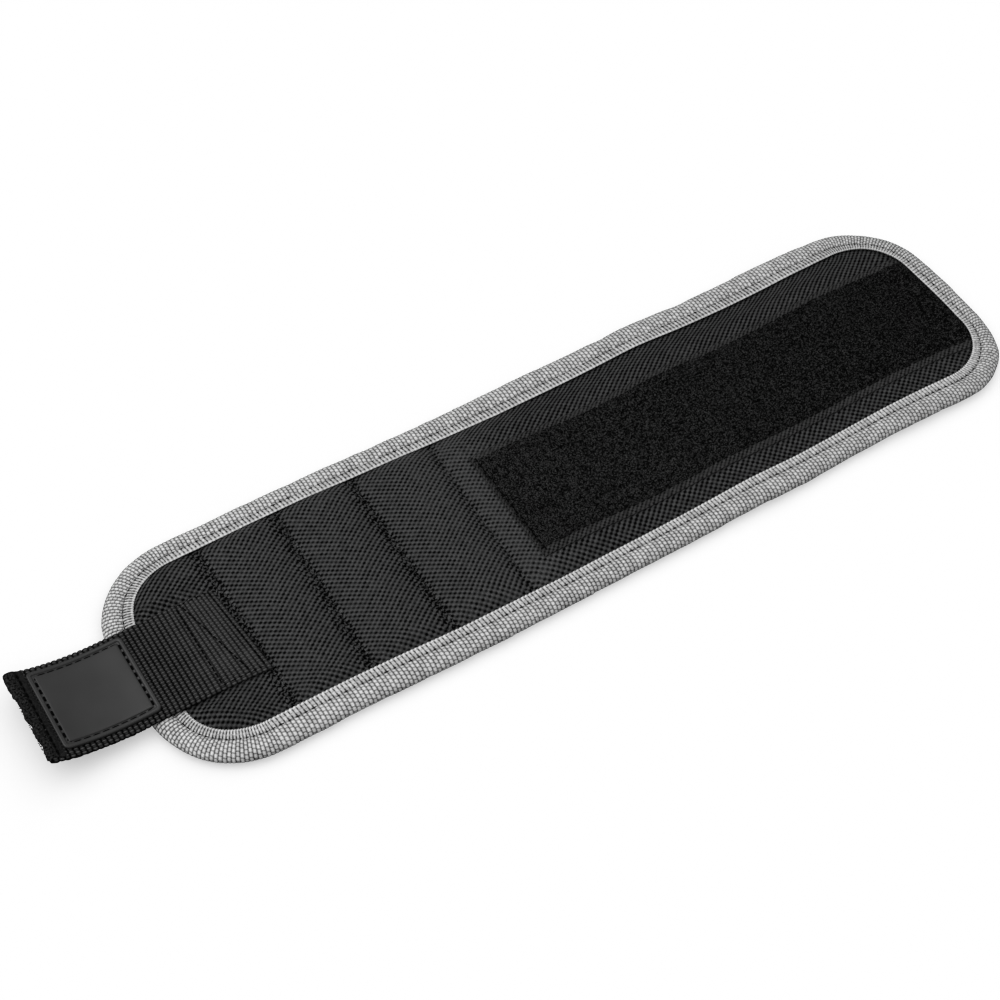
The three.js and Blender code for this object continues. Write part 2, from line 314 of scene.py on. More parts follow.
class Shell:
    """A closed sheet of cloth: an outer grid and an inner grid, with edges between them."""

    def __init__(self, outer, inner, attr, key="cloth"):
        self.o, self.n = np.array(outer, float), np.array(inner, float)
        self.attr = np.array(attr, float)
        self.key = key
        self.no, self.nn = grid_normals(self.o), -grid_normals(self.n)

    def piece(self, name, i0, i1, mats, pick=None):
        o, n, a = self.o[i0 : i1 + 1], self.n[i0 : i1 + 1], self.attr[i0 : i1 + 1]
        ni, nj = o.shape[:2]
        idx = np.arange(ni * nj).reshape(ni, nj)
        top = np.stack([idx[:-1, :-1], idx[1:, :-1], idx[1:, 1:], idx[:-1, 1:]], -1).reshape(-1, 4)
        under = top[:, ::-1] + ni * nj
        v = [o.reshape(-1, 3), n.reshape(-1, 3)]
        nor = [self.no[i0 : i1 + 1].reshape(-1, 3), self.nn[i0 : i1 + 1].reshape(-1, 3)]
        at = [a.reshape(-1, 3), a.reshape(-1, 3)]
        ii, jj = np.meshgrid(np.linspace(0.004, 0.996, ni), np.linspace(0, 1, nj), indexing="ij")
        uv = [np.stack([ii, 0.004 + 0.79 * jj], -1).reshape(-1, 2), np.stack([ii, 0.805 + 0.14 * jj], -1).reshape(-1, 2)]
        quads = [top, under]
        base, strip = 2 * ni * nj, 0.955
        for line_o, line_n, line_a, flip in (
            (o[:, 0], n[:, 0], a[:, 0], False),
            (o[:, -1], n[:, -1], a[:, -1], True),
            (o[0], n[0], a[0], True),
            (o[-1], n[-1], a[-1], False),
        ):
            m = len(line_o)
            k = np.arange(m - 1)
            q = np.stack([base + k, base + m + k, base + m + k + 1, base + k + 1], 1)
            across, along = line_n - line_o, np.gradient(line_o, axis=0)
            face = np.cross(across, along)
            if flip:
                q, face = q[:, ::-1], -face
            face = face / np.maximum(np.linalg.norm(face, axis=1, keepdims=True), 1e-12)
            v += [line_o, line_n]
            nor += [face, face]
            at += [line_a, line_a]
            t = np.linspace(0.004, 0.996, m)
            uv += [np.stack([t, np.full(m, strip)], 1), np.stack([t, np.full(m, strip + 0.008)], 1)]
            quads.append(q)
            base += 2 * m
            strip += 0.011
        quads = np.concatenate(quads)
        index = None
        if pick is not None:
            chosen = pick(i0, i1)
            index = np.concatenate([chosen.reshape(-1), np.zeros(len(quads) - chosen.size, int)])
        return build(
            name,
            np.concatenate(v),
            quads,
            np.concatenate(nor),
            {self.key: np.concatenate(at)},
            np.concatenate(uv),
            mats,
            index,
        )


def bend(ob, k, slot, *nodes):
    """ob belongs to stretch k, which is not used here; its placement is baked into its mesh and the given parts of the
    model are hidden.
    """
    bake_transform(ob)
    if nodes:
        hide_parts(*nodes)
    return ob


def stretch_columns(first, last, step, extra=None):
    """X of the columns of a layer, and the first and last column of each stretch that it reaches."""
    xs, spans = [], {}
    for k in STRETCHES:
        a, b = max(EDGES[k - 1], first), min(EDGES[k], last)
        if b - a < 1e-6:
            continue
        cols = extra(a, b) if extra else steps(a, b, step)
        start = len(xs) - 1 if xs else 0
        xs += list(cols if not xs else cols[1:])
        spans[k] = (start, len(xs) - 1)
    return np.array(xs), spans


def stitches(points, ups, radius, share=0.78, lift=0.0, sink=0.3, wild=0.0, pale=0.0):
    """Short rounded threads along a line of points, each between two neighbours, with its ends going into the cloth."""
    p, u = np.asarray(points, float), np.asarray(ups, float)
    a, b = p[:-1], p[1:]
    up = u[:-1] + u[1:]
    up = up / np.linalg.norm(up, axis=1, keepdims=True)
    luck, other = chance(np.arange(len(a)), a[:, 0] * 0.37, 7), chance(np.arange(len(a)), a[:, 1] * 0.53, 8)
    mid, half = (a + b) / 2, (b - a) / 2 * (share * (1 - 0.5 * wild * luck))[:, None]
    mid = mid - up * (wild * 0.16 * other**2)[:, None]
    along = half / np.linalg.norm(half, axis=1, keepdims=True)
    side = np.cross(up, along)
    ring_u = np.array([-1.0, -0.93, -0.7, -0.25, 0.25, 0.7, 0.93, 1.0])
    ring_r = np.array([0.35, 0.72, 0.95, 1.0, 1.0, 0.95, 0.72, 0.35])
    ring_z = -sink * np.abs(ring_u) ** 5
    sides = 7
    ang = np.linspace(0, 2 * np.pi, sides, endpoint=False)
    n = len(mid)
    wig = 0.06 * np.sin(np.arange(n) * 2.399) + wild * 0.3 * (luck - 0.5)
    v = (
        mid[:, None, None]
        + half[:, None, None] * ring_u[None, :, None, None]
        + up[:, None, None] * (lift + ring_z[None, :, None, None] + radius * ring_r[None, :, None, None] * np.sin(ang)[None, None, :, None])
        + side[:, None, None] * (wig[:, None, None, None] * ring_u[None, :, None, None] + 1.15 * radius * ring_r[None, :, None, None] * np.cos(ang)[None, None, :, None])
    )
    nr = len(ring_u)
    idx = np.arange(n * nr * sides).reshape(n, nr, sides)
    nxt = np.roll(idx, -1, axis=2)
    quads = np.stack([idx[:, :-1], idx[:, 1:], nxt[:, 1:], nxt[:, :-1]], -1).reshape(-1, 4)
    caps = []
    for ring, back in ((idx[:, 0], True), (idx[:, -1], False)):
        for k in range(1, sides - 1):
            t = np.stack([ring[:, 0], ring[:, k], ring[:, k + 1]], 1)
            caps.append(t if back else t[:, ::-1])
    tw = np.broadcast_to(ring_u[None, :, None] * 3.0 + np.arange(n)[:, None, None] * 1.7, (n, nr, sides))
    attr = np.stack([tw, np.broadcast_to(ang[None, None], (n, nr, sides)), np.full((n, nr, sides), pale)], -1)
    # the ring runs round `along`; turn the faces outwards
    return v.reshape(-1, 3), quads[:, ::-1], np.concatenate(caps)[:, ::-1], attr.reshape(-1, 3)


def join(sets):
    v, q, t, a, base = [], [], [], [], 0
    for sv, sq, st, sa in sets:
        v.append(sv)
        q.append(sq + base)
        t.append(st + base)
        a.append(sa)
        base += len(sv)
    return np.concatenate(v), np.concatenate(q), np.concatenate(t), np.concatenate(a)


# ---------------------------------------------------------------- materials
class Look:
    """A material built from nodes, with short names for the ones used."""

    def __init__(self, name):
        self.mat = bpy.data.materials.new(name)
        self.mat.use_nodes = True
        self.nt = self.mat.node_tree
        self.nt.nodes.clear()
        out = self.nt.nodes.new("ShaderNodeOutputMaterial")
        self.bsdf = self.nt.nodes.new("ShaderNodeBsdfPrincipled")
        self.nt.links.new(self.bsdf.outputs["BSDF"], out.inputs["Surface"])

    def put(self, socket, value):
        if hasattr(value, "is_output"):
            self.nt.links.new(value, socket)
        else:
            socket.default_value = value

    def node(self, kind, **props):
        n = self.nt.nodes.new(kind)
        for k, v in props.items():
            setattr(n, k, v)
        return n

    def math(self, op, a, b=None, c=None):
        n = self.node("ShaderNodeMath", operation=op)
        for k, v in enumerate((a, b, c)):
            if v is not None:
                self.put(n.inputs[k], v)
        return n.outputs[0]

    def add(self, a, b):
        return self.math("ADD", a, b)

    def mul(self, a, b):
        return self.math("MULTIPLY", a, b)

    def attr(self, name):
        return self.node("ShaderNodeAttribute", attribute_name=name).outputs["Vector"]

    def split(self, vec):
        n = self.node("ShaderNodeSeparateXYZ")
        self.put(n.inputs[0], vec)
        return n.outputs

    def join(self, x, y, z):
        n = self.node("ShaderNodeCombineXYZ")
        for k, v in enumerate((x, y, z)):
            self.put(n.inputs[k], v)
        return n.outputs[0]

    def noise(self, vec, scale, detail=2.0, rough=0.5):
        n = self.node("ShaderNodeTexNoise")
        self.put(n.inputs["Vector"], vec)
        n.inputs["Scale"].default_value = scale
        n.inputs["Detail"].default_value = detail
        n.inputs["Roughness"].default_value = rough
        return n.outputs["Fac"]

    def cells(self, vec, scale, feature="F1", out="Distance"):
        n = self.node("ShaderNodeTexVoronoi", feature=feature)
        self.put(n.inputs["Vector"], vec)
        n.inputs["Scale"].default_value = scale
        return n.outputs[out]

    def each(self, u, v):
        """A value of its own for each cell of a grid."""
        n = self.node("ShaderNodeTexWhiteNoise", noise_dimensions="3D")
        self.put(n.inputs["Vector"], self.join(self.math("FLOOR", u), self.math("FLOOR", v), 0.0))
        return n.outputs["Value"]

    def span(self, v, a, b, c, d):
        n = self.node("ShaderNodeMapRange")
        n.clamp = True
        for k, x in enumerate((v, a, b, c, d)):
            self.put(n.inputs[k], x)
        return n.outputs[0]

    def mix(self, fac, a, b):
        n = self.node("ShaderNodeMix", data_type="RGBA")
        self.put(n.inputs[0], fac)
        self.put(n.inputs[6], a)
        self.put(n.inputs[7], b)
        return n.outputs[2]

    def bump(self, height, distance, strength=1.0, after=None):
        n = self.node("ShaderNodeBump")
        n.inputs["Strength"].default_value = strength
        n.inputs["Distance"].default_value = distance
        self.put(n.inputs["Height"], height)
        if after is not None:
            self.put(n.inputs["Normal"], after)
        return n.outputs[0]

    def set(self, **values):
        for k, v in values.items():
            self.put(self.bsdf.inputs[k.replace("_", " ")], v)
        return self.mat


def grey(v, warm=0.0):
    return (v * (1 + warm), v, v * (1 - warm), 1.0)


def crossings(k, vec, pitch_u, pitch_v, stray=0.5, lean=None, rumple=None):
    """Height of a plain weave: 1 on a yarn's crown and -1 where the yarns dive, with the yarn coordinates.

    One diagonal of the weave is made stronger, standing in for light falling from one side, so where this height sets
    colour it is painted shading; lean, the slope of the cloth, evens them out, as the light falls differently on the
    slope."""
    x, y, _ = k.split(vec)
    u = k.add(k.math("DIVIDE", x, pitch_u), k.mul(k.noise(vec, 0.07, 2.0), stray))
    v = k.add(k.math("DIVIDE", y, pitch_v), k.mul(k.noise(k.join(y, x, 4.0), 0.06, 2.0), stray))
    if rumple is not None:
        u = k.add(u, k.mul(rumple, centred(k, k.noise(vec, 0.75, 2.0), 3.2)))
        v = k.add(v, k.mul(rumple, centred(k, k.noise(k.join(y, x, 9.0), 0.75, 2.0), 3.2)))
    one = k.math("COSINE", k.mul(k.math("SUBTRACT", u, v), math.pi))
    two = k.math("COSINE", k.mul(k.add(u, v), math.pi))
    if lean is None:
        h = k.math("SUBTRACT", k.mul(one, 0.66), k.mul(two, 0.34))
    else:
        share = k.span(lean, 0.0, 0.22, 0.33, 0.55)
        h = k.math("SUBTRACT", k.mul(one, k.math("SUBTRACT", 1.0, share)), k.mul(two, share))
    return h, u, v


def centred(k, v, gain):
    return k.mul(k.math("SUBTRACT", v, 0.5), gain)


def cover_look():
    k = Look("cover_cloth")
    vec = k.attr("cloth")
    x, y, slope = k.split(vec)
    # seam: a band along each crease, widest on its left side; it bends the weave and carries the painted crease shade
    # below
    seam = 0.0
    for c, slant, strength in zip(CREASES, CREASE_SLANT, (1.0, 1.0, 1.0, 0.5)):
        d = k.math("SUBTRACT", k.math("SUBTRACT", x, c), k.mul(y, slant / 36))
        seam = k.math("MAXIMUM", k.mul(k.span(d, -5.6, -0.8, 0.0, strength), k.span(d, 0.2, 2.2, 1.0, 0.0)), seam)
    # the cloth's slope picks the stronger diagonal of the weave: painted shading of light from the left
    h, u, v = crossings(k, k.join(x, y, 0.0), 1.27, 1.0, 0.5, slope, seam)
    fibre = k.noise(k.join(k.mul(u, 1.5), k.mul(v, 7.0), 0.0), 1.0, 2.0)
    patchy = k.noise(k.join(x, y, 0.0), 0.35, 2.0)
    tone = k.add(k.span(h, -0.80, 0.60, 0.0, 1.0), k.add(centred(k, fibre, 0.55), centred(k, patchy, 0.25)))
    tone = k.add(tone, centred(k, k.each(u, v), 0.30))
    # painted shade mottled with noise: the band along each crease is darker on average
    mottled_crease_shade = k.mul(seam, k.math("SUBTRACT", k.noise(k.join(x, y, 3.0), 1.3, 2.0), 0.62))
    tone = k.add(tone, k.mul(mottled_crease_shade, 0.9))
    # painted shade in the creases: in the band along each crease, widest on its left, the gaps between the yarns are
    # darkened and the yarn crowns lightened
    tone = k.math("SUBTRACT", tone, k.mul(seam, k.span(h, -0.55, 0.25, 0.50, 0.0)))
    tone = k.add(tone, k.mul(seam, k.span(h, 0.25, 0.70, 0.0, 0.22)))
    # painted light and shade: lighter on the slope between the fourth crease and the loop panel, then darker towards
    # the loop end
    tone = k.add(tone, k.mul(k.span(x, -60.0, -40.0, 0.0, 0.11), k.span(x, -36.0, -20.0, 1.0, 0.0)))
    tone = k.math("SUBTRACT", tone, k.span(x, -34.0, -8.0, 0.0, 0.13))
    # painted shadow: the cover is darker towards the tab end, where the tab shades it
    tone = k.math("SUBTRACT", tone, k.span(x, -152.0, -122.0, 0.13, 0.0))
    body = k.mix(tone, grey(0.0006), grey(0.043, -0.01))
    k.set(
        Base_Color=body,
        Roughness=k.span(tone, 0.1, 0.9, 0.8, 0.5),
        Normal=k.bump(k.add(h, k.mul(fibre, 0.3)), 0.00026, 1.0),
    )
    k.put(k.bsdf.inputs["Specular IOR Level"], k.span(tone, 0.2, 1.0, 0.01, 0.20))
    return k.mat


def binding_look():
    k = Look("binding_tape")
    vec = k.attr("tape")
    s, q, crown = k.split(vec)  # ribs along the tape, mm from its edge, height of the rib
    rib = k.math("FLOOR", s)
    part = k.math("FRACT", s)
    fray = k.noise(k.join(k.mul(s, 3.0), k.mul(q, 6.0), 0.0), 1.0, 2.0)
    blot = k.noise(k.join(s, q, 0.0), 0.22, 3.0)
    # each rib is a row of short floats, set off by half from the next rib and lying a little aslant
    along = k.add(k.mul(q, 1 / 1.712), k.mul(k.math("MODULO", rib, 2.0), 0.5))
    along = k.add(along, k.add(k.mul(part, -0.12), centred(k, k.each(s, 1.0), 0.26)))
    end = k.mul(k.math("ABSOLUTE", k.math("SUBTRACT", k.math("FRACT", along), 0.5)), 2.0)
    notch = k.span(end, 0.60, 0.92, 0.0, 1.0)
    bar = k.math("POWER", k.math("ABSOLUTE", k.math("SINE", k.mul(k.add(s, k.span(q, 0.6, 3.6, 0.30, 0.0)), math.pi))), 0.6)
    gap = k.span(bar, 0.30, 0.84, 1.0, 0.0)
    roll = k.span(q, 3.5, 4.2, 0.0, 1.0)
    # bars next to the selvedge, with the deepest gaps at their two ends
    ends = k.span(k.math("COSINE", k.mul(k.math("SUBTRACT", q, 1.2), 2 * math.pi / 1.85)), -1.0, 1.0, 0.62, 1.35)
    strip = k.math("MAXIMUM", k.mul(gap, ends), k.mul(notch, 0.30))
    beads = k.math("MINIMUM", k.add(k.mul(gap, 0.80), k.mul(notch, 0.62)), 1.05)
    dark = k.add(k.mul(strip, k.math("SUBTRACT", 1.0, roll)), k.mul(beads, roll))
    tone = k.math("SUBTRACT", k.span(roll, 0.0, 1.0, 0.90, 1.0), k.mul(dark, 0.95))
    tone = k.mul(tone, k.span(k.math("ABSOLUTE", k.math("SUBTRACT", q, 3.75)), 0.10, 0.5, 0.55, 1.0))
    edge = k.span(q, 0.55, 0.85, 1.0, 0.0)
    bright = k.add(0.98, k.mul(k.math("SINE", k.mul(s, 2 * math.pi)), 0.30))
    tone = k.add(k.mul(tone, k.math("SUBTRACT", 1.0, edge)), k.mul(bright, edge))
    tone = k.add(tone, k.add(centred(k, fray, 0.8), centred(k, k.each(s, along), 0.34)))
    body = k.mix(k.span(tone, 0.0, 1.15, 0.0, 1.0), grey(0.010), grey(0.62))
    soiled = k.mix(k.span(blot, 0.35, 0.8, 0.0, 0.15), body, grey(0.34, 0.02))
    height = k.math("SUBTRACT", k.mul(fray, 0.4), k.mul(dark, 0.9))
    k.set(Base_Color=soiled, Roughness=k.span(tone, 0.1, 0.9, 0.9, 0.68), Normal=k.bump(height, 0.00042, 1.0))
    k.bsdf.inputs["Specular IOR Level"].default_value = 0.2
    return k.mat


def lining_look():
    k = Look("lining_mesh")
    vec = k.attr("cloth")
    x, y, pit = k.split(vec)
    knit = k.noise(vec, 2.6, 2.0)
    yarn = k.math("SINE", k.mul(k.add(x, k.mul(y, 0.58)), 7.3))
    tone = k.add(k.mul(knit, 0.7), k.mul(yarn, 0.15))
    body = k.mix(k.span(tone, 0.2, 0.7, 0.0, 1.0), grey(0.006), grey(0.040))
    holes = k.mix(k.span(pit, 0.25, 0.75, 0.0, 1.0), body, grey(0.0015))
    k.set(Base_Color=holes, Roughness=k.span(tone, 0.0, 1.0, 0.9, 0.7), Normal=k.bump(tone, 0.00016, 0.8))
    k.bsdf.inputs["Sheen Weight"].default_value = 0.05
    k.bsdf.inputs["Specular IOR Level"].default_value = 0.12
    return k.mat


def pile_look():
    k = Look("loop_pile")
    vec = k.attr("cloth")
    x, y, up = k.split(vec)
    at = k.join(x, y, 0.0)
    tuft = k.span(k.cells(at, 2.3), 0.05, 0.75, 1.0, 0.0)
    own, _, _ = k.split(k.cells(at, 2.3, "F1", "Color"))
    fuzz = k.noise(vec, 4.2, 2.0, 0.6)
    tone = k.add(k.add(k.mul(tuft, 0.60), centred(k, own, 1.2)), k.add(centred(k, fuzz, 2.8), k.mul(up, 0.25)))
    # painted shade: the pile darkens towards the loop end, away from the light
    tone = k.math("SUBTRACT", tone, k.span(x, -20.0, 165.0, 0.0, 0.18))
    body = k.mix(k.span(tone, 0.22, 1.08, 0.0, 1.0), grey(0.0), grey(0.045))
    h = k.add(k.mul(tuft, 0.8), k.mul(fuzz, 0.7))
    k.set(Base_Color=body, Roughness=k.span(fuzz, 0.2, 0.8, 0.95, 0.75), Normal=k.bump(h, 0.0005, 1.0))
    k.bsdf.inputs["Specular IOR Level"].default_value = 0.03
    return k.mat


def selvedge_look():
    k = Look("loop_selvedge")
    vec = k.attr("cloth")
    h, u, v = crossings(k, vec, 0.95, 0.80, 0.2)
    fibre = k.noise(k.join(k.mul(u, 1.5), k.mul(v, 5.0), 0.0), 1.0, 2.0)
    _, _, up = k.split(vec)  # more than 0 where the pile begins
    tone = k.add(k.span(h, -0.75, 0.65, 0.0, 0.9), k.add(centred(k, fibre, 0.9), centred(k, k.each(u, v), 0.5)))
    tone = k.mul(tone, k.span(up, 0.0, 0.10, 1.0, 0.45))
    body = k.mix(tone, grey(0.0004), grey(0.034))
    k.set(Base_Color=body, Roughness=k.span(tone, 0.0, 1.0, 0.75, 0.5), Normal=k.bump(h, 0.00005, 0.8))
    k.bsdf.inputs["Specular IOR Level"].default_value = 0.06
    return k.mat


def webbing_look():
    k = Look("webbing")
    vec = k.attr("cloth")
    x, y, up = k.split(vec)
    fibre = k.noise(k.join(k.mul(x, 2.0), k.mul(y, 9.0), 0.0), 1.0, 2.0)
    blot = k.noise(vec, 0.16, 2.0)
    tone = k.add(k.span(up, 0.22, 0.90, 0.0, 1.0), k.add(centred(k, fibre, 0.8), centred(k, blot, 0.3)))
    tone = k.add(tone, k.span(x, -158.0, -146.0, -0.05, 0.12))
    body = k.mix(tone, grey(0.0006), grey(0.050))
    k.set(Base_Color=body, Roughness=k.span(tone, 0.0, 1.0, 0.85, 0.5), Normal=k.bump(fibre, 0.00012, 0.9))
    k.put(k.bsdf.inputs["Specular IOR Level"], k.span(tone, 0.2, 1.0, 0.02, 0.28))
    return k.mat


def hook_look():
    k = Look("hook_tape")
    vec = k.attr("cloth")
    _, _, zone = k.split(vec)  # 0 on the hooks, 2 on the smooth selvedge, 3 along the row of sewing in it
    grain = k.noise(vec, 1.35, 2.0, 0.7)
    plain = k.span(zone, 0.4, 1.8, 0.0, 1.0)
    tone = k.mul(k.span(grain, 0.40, 0.62, 0.0, 1.0), k.span(plain, 0.0, 1.0, 1.0, 0.30))
    tone = k.add(tone, k.mul(plain, 0.24))
    tone = k.mul(tone, k.span(zone, 2.15, 2.8, 1.0, 0.0))
    body = k.mix(tone, grey(0.0002), grey(0.021))
    k.set(Base_Color=body, Roughness=k.span(grain, 0.2, 0.8, 0.9, 0.7), Normal=k.bump(grain, 0.0006, 1.0))
    k.bsdf.inputs["Specular IOR Level"].default_value = 0.04
    return k.mat


def badge_look():
    k = Look("badge")
    vec = k.attr("cloth")
    grain = k.noise(vec, 3.0, 3.0, 0.6)
    haze = k.noise(vec, 0.07, 2.0)
    body = k.mix(k.span(haze, 0.3, 0.7, 0.0, 1.0), grey(0.018), grey(0.024))
    k.set(Base_Color=body, Roughness=k.span(grain, 0.2, 0.8, 0.50, 0.42), Normal=k.bump(grain, 0.00003, 0.5))
    k.bsdf.inputs["Specular IOR Level"].default_value = 0.24
    return k.mat


def thread_look():
    k = Look("thread")
    vec = k.attr("twist")
    x, ang, pale = k.split(vec)
    ply = k.math("SINE", k.add(k.mul(x, 5.5), k.mul(ang, 2.0)))
    body = k.mix(k.span(ply, -1.0, 1.0, 0.0, 1.0), grey(0.0002), grey(0.0025))
    # pale thread: lighter, near the cover cloth's tone, and lighter still on its plies, a painted highlight
    body = k.mix(k.mul(pale, k.span(ply, -1.0, 1.0, 0.3, 1.0)), body, grey(0.036))
    k.set(Base_Color=body, Roughness=k.span(ply, -1.0, 1.0, 0.8, 0.6), Normal=k.bump(ply, 0.00006, 0.8))
    k.bsdf.inputs["Specular IOR Level"].default_value = 0.012
    return k.mat


def magnet_look():
    k = Look("nickel_plate")
    co = k.node("ShaderNodeTexCoord").outputs["Object"]
    swirl = k.noise(co, 900.0, 3.0)
    body = k.mix(k.span(swirl, 0.3, 0.7, 0.0, 1.0), (0.52, 0.51, 0.48, 1.0), (0.66, 0.65, 0.62, 1.0))
    k.set(Base_Color=body, Roughness=k.span(swirl, 0.3, 0.7, 0.34, 0.2), Normal=k.bump(swirl, 0.00002, 0.4))
    k.bsdf.inputs["Metallic"].default_value = 1.0
    return k.mat


COVER, BINDING, LINING = cover_look(), binding_look(), lining_look()
PILE, SELVEDGE, WEBBING = pile_look(), selvedge_look(), webbing_look()
HOOK, BADGE, THREAD, NICKEL = hook_look(), badge_look(), thread_look(), magnet_look()

thread_sets = {k: [] for k in STRETCHES}

# ---------------------------------------------------------------- cover
COVER_INSET = 8.2


def end_columns(inset, step):
    """Columns that crowd together at the round ends of the band."""

    def cols(a, b):
        lo, hi = -HALF_X + inset, HALF_X - inset
        out = [a]
        x = a
        while x < b - 1e-6:
            near = min(x - lo, hi - x) if min(x - lo, hi - x) > 0 else 0.0
            s = step * (0.12 + 0.88 * float(smooth(np.array(near / 10.0))))
            if hi - x < 10:
                s = step * (0.12 + 0.88 * float(smooth(np.array(max(hi - x - s, 0) / 10.0))))
            x = min(x + s, b)
            if b - x < 0.35 * s:
                x = b
            out.append(x)
        return np.array(out)

    return cols


xs, cover_spans = stretch_columns(-HALF_X + COVER_INSET, HALF_X - COVER_INSET, 0.6, end_columns(COVER_INSET, 0.6))
q = np.linspace(-1, 1, 177)
q = np.sign(q) * (1 - (1 - np.abs(q)) ** 1.15)
X = np.repeat(xs[:, None], len(q), 1)
Y = half_width(xs, COVER_INSET)[:, None] * q[None, :]
Z = cover_height(X, Y)
top = np.stack([X, Y, Z], -1)
low = np.stack([X, Y, Z - 0.75], -1)
slope = np.gradient(Z, axis=0) / np.gradient(X, axis=0) + np.gradient(Z, axis=1) / np.gradient(Y, axis=1)
cover = Shell(warp(top), warp(low), np.stack([X, Y, slope], -1))
for k, (i0, i1) in cover_spans.items():
    ob = cover.piece(f"cover_cloth_{k}", i0, i1, [COVER])
    bend(ob, k, "cover_cloth", f"cover_{k}", *(["cover_10"] if k == 9 else []))

# thread of the sewn channels, seen in the bottom of each crease; marked pale, it is coloured near the cover cloth's
# tone, with a painted highlight along its plies
for c in range(4):
    ys = steps(-35.5, 35.5, 3.0)
    x = crease_x(c, ys)
    p = np.stack([x, ys, cover_height(x, ys) + 0.02], 1)
    thread_sets[c + 1].append(stitches(warp(p), np.tile([0, 0, 1.0], (len(p), 1)), 0.10, 0.70, -0.04, pale=1.0))

# ---------------------------------------------------------------- lining
LINING_INSET = 9.8
HEX = 3.1


def hex_pits(x, y):
    """1 in the middle of a mesh hole and 0 outside it, on a hexagonal layout."""
    best = np.full_like(x, 9.0)
    h = HEX * math.sqrt(3) / 2
    for oy in (0, 1):
        yy = np.round((y / h - oy) / 2) * 2 + oy
        shift = oy * HEX / 2
        xx = np.round((x - shift) / HEX) * HEX + shift
        best = np.minimum(best, np.hypot(x - xx, y - yy * h))
    return 1 - smooth((best - 0.62) / 0.55)


def lining_under(x, y):
    d = inset_of(x, y)
    z = 0.06 + 0.85 * smooth((13.0 - d) / 2.4)
    for k in range(4):
        z = z + 0.75 * bell(x, crease_x(k, y), 1.3)
    return z + 0.06 * (lumps(x / 8, y / 8, 31) + 1)


lx, lining_spans = stretch_columns(-HALF_X + LINING_INSET, HALF_X - LINING_INSET, 0.5, end_columns(LINING_INSET, 0.5))
lq = np.linspace(1, -1, 151)
X = np.repeat(lx[:, None], len(lq), 1)
Y = half_width(lx, LINING_INSET)[:, None] * lq[None, :]
pit = hex_pits(X, Y) * smooth((inset_of(X, Y) - 11.4) / 1.0)
Z = lining_under(X, Y) + 0.5 * pit
roof = np.where(X < -8, 2.45, 2.45 + 0.9 * smooth((X + 8) / 20))
shown = np.stack([X, Y, Z], -1)
hidden = np.stack([X, Y, np.minimum(roof, 2.45 + smooth((inset_of(X, Y) - 11) / 3) * 0.9)], -1)
lining = Shell(warp(shown), warp(hidden), np.stack([X, Y, pit], -1))
for k, (i0, i1) in lining_spans.items():
    ob = lining.piece(f"lining_mesh_{k}", i0, i1, [LINING])
    bend(ob, k, "lining_mesh", f"lining_{k}", *(["lining_10"] if k == 9 else []))
for c in range(4):
    ys = steps(-35.5, 35.5, 3.0)
    x = crease_x(c, ys)
    p = np.stack([x, ys, lining_under(x, ys)], 1)
    thread_sets[c + 1].append(stitches(warp(p), np.tile([0, 0, -1.0], (len(p), 1)), 0.24, 0.74))

# ---------------------------------------------------------------- binding
RIB = 1.49
PROFILE = [
    (10.9, 0.10),
    (9.6, 0.06),
    (8.2, 0.10),
    (7.45, 0.30),
    (6.7, 0.10),
    (4.6, 0.04),
    (2.6, 0.20),
    (1.2, 0.75),
    (0.35, 1.65),
    (0.0, 2.75),
    (0.3, 3.75),
    (1.2, 4.65),
    (2.7, 5.25),
    (4.4, 5.45),
    (6.0, 5.25),
    (7.0, 4.92),
    (7.45, 4.72),
    (7.9, 4.92),
    (9.0, 5.08),
    (10.1, 5.06),
    (10.75, 5.14),
    (11.05, 4.98),
]
profile = curve_through(PROFILE, 58)
tangent = np.gradient(profile, axis=0)
outward = np.stack([-tangent[:, 1], tangent[:, 0]], 1)  # left of the line, which runs with the tape's outside on that side
outward = outward / np.linalg.norm(outward, axis=1, keepdims=True)
if outward[len(outward) // 2, 0] > 0:
    outward = -outward
across = np.concatenate([[0], np.cumsum(np.linalg.norm(np.diff(profile, axis=0), axis=1))])
tape_wall = 0.62
grip = 1.0 - 0.65 * (bell(profile[:, 0], 7.45, 0.5))


def run_of(parts):
    """Points, outward normals and lengths along straight and round parts of the outline."""
    at, marks = 0.0, []
    for part in parts:
        if part[0] == "line":
            length = math.dist(part[1], part[2])
        else:
            length = part[2] * abs(part[4] - part[3])
        marks.append((at, at + length, part))
        at += length

    def place(s):
        s = np.asarray(s, float)
        p, n = np.zeros((len(s), 2)), np.zeros((len(s), 2))
        for a, b, part in marks:
            m = (s >= a - 1e-9) & (s <= b + 1e-9)
            t = ((s[m] - a) / (b - a))[:, None]
            if part[0] == "line":
                p0, p1 = np.array(part[1], float), np.array(part[2], float)
                p[m] = p0 + (p1 - p0) * t
                n[m] = part[3]
            else:
                ang = part[3] + (part[4] - part[3]) * t[:, 0]
                n[m] = np.stack([np.cos(ang), np.sin(ang)], 1)
                p[m] = np.array(part[1]) + part[2] * n[m]
        return p, n

    return at, place


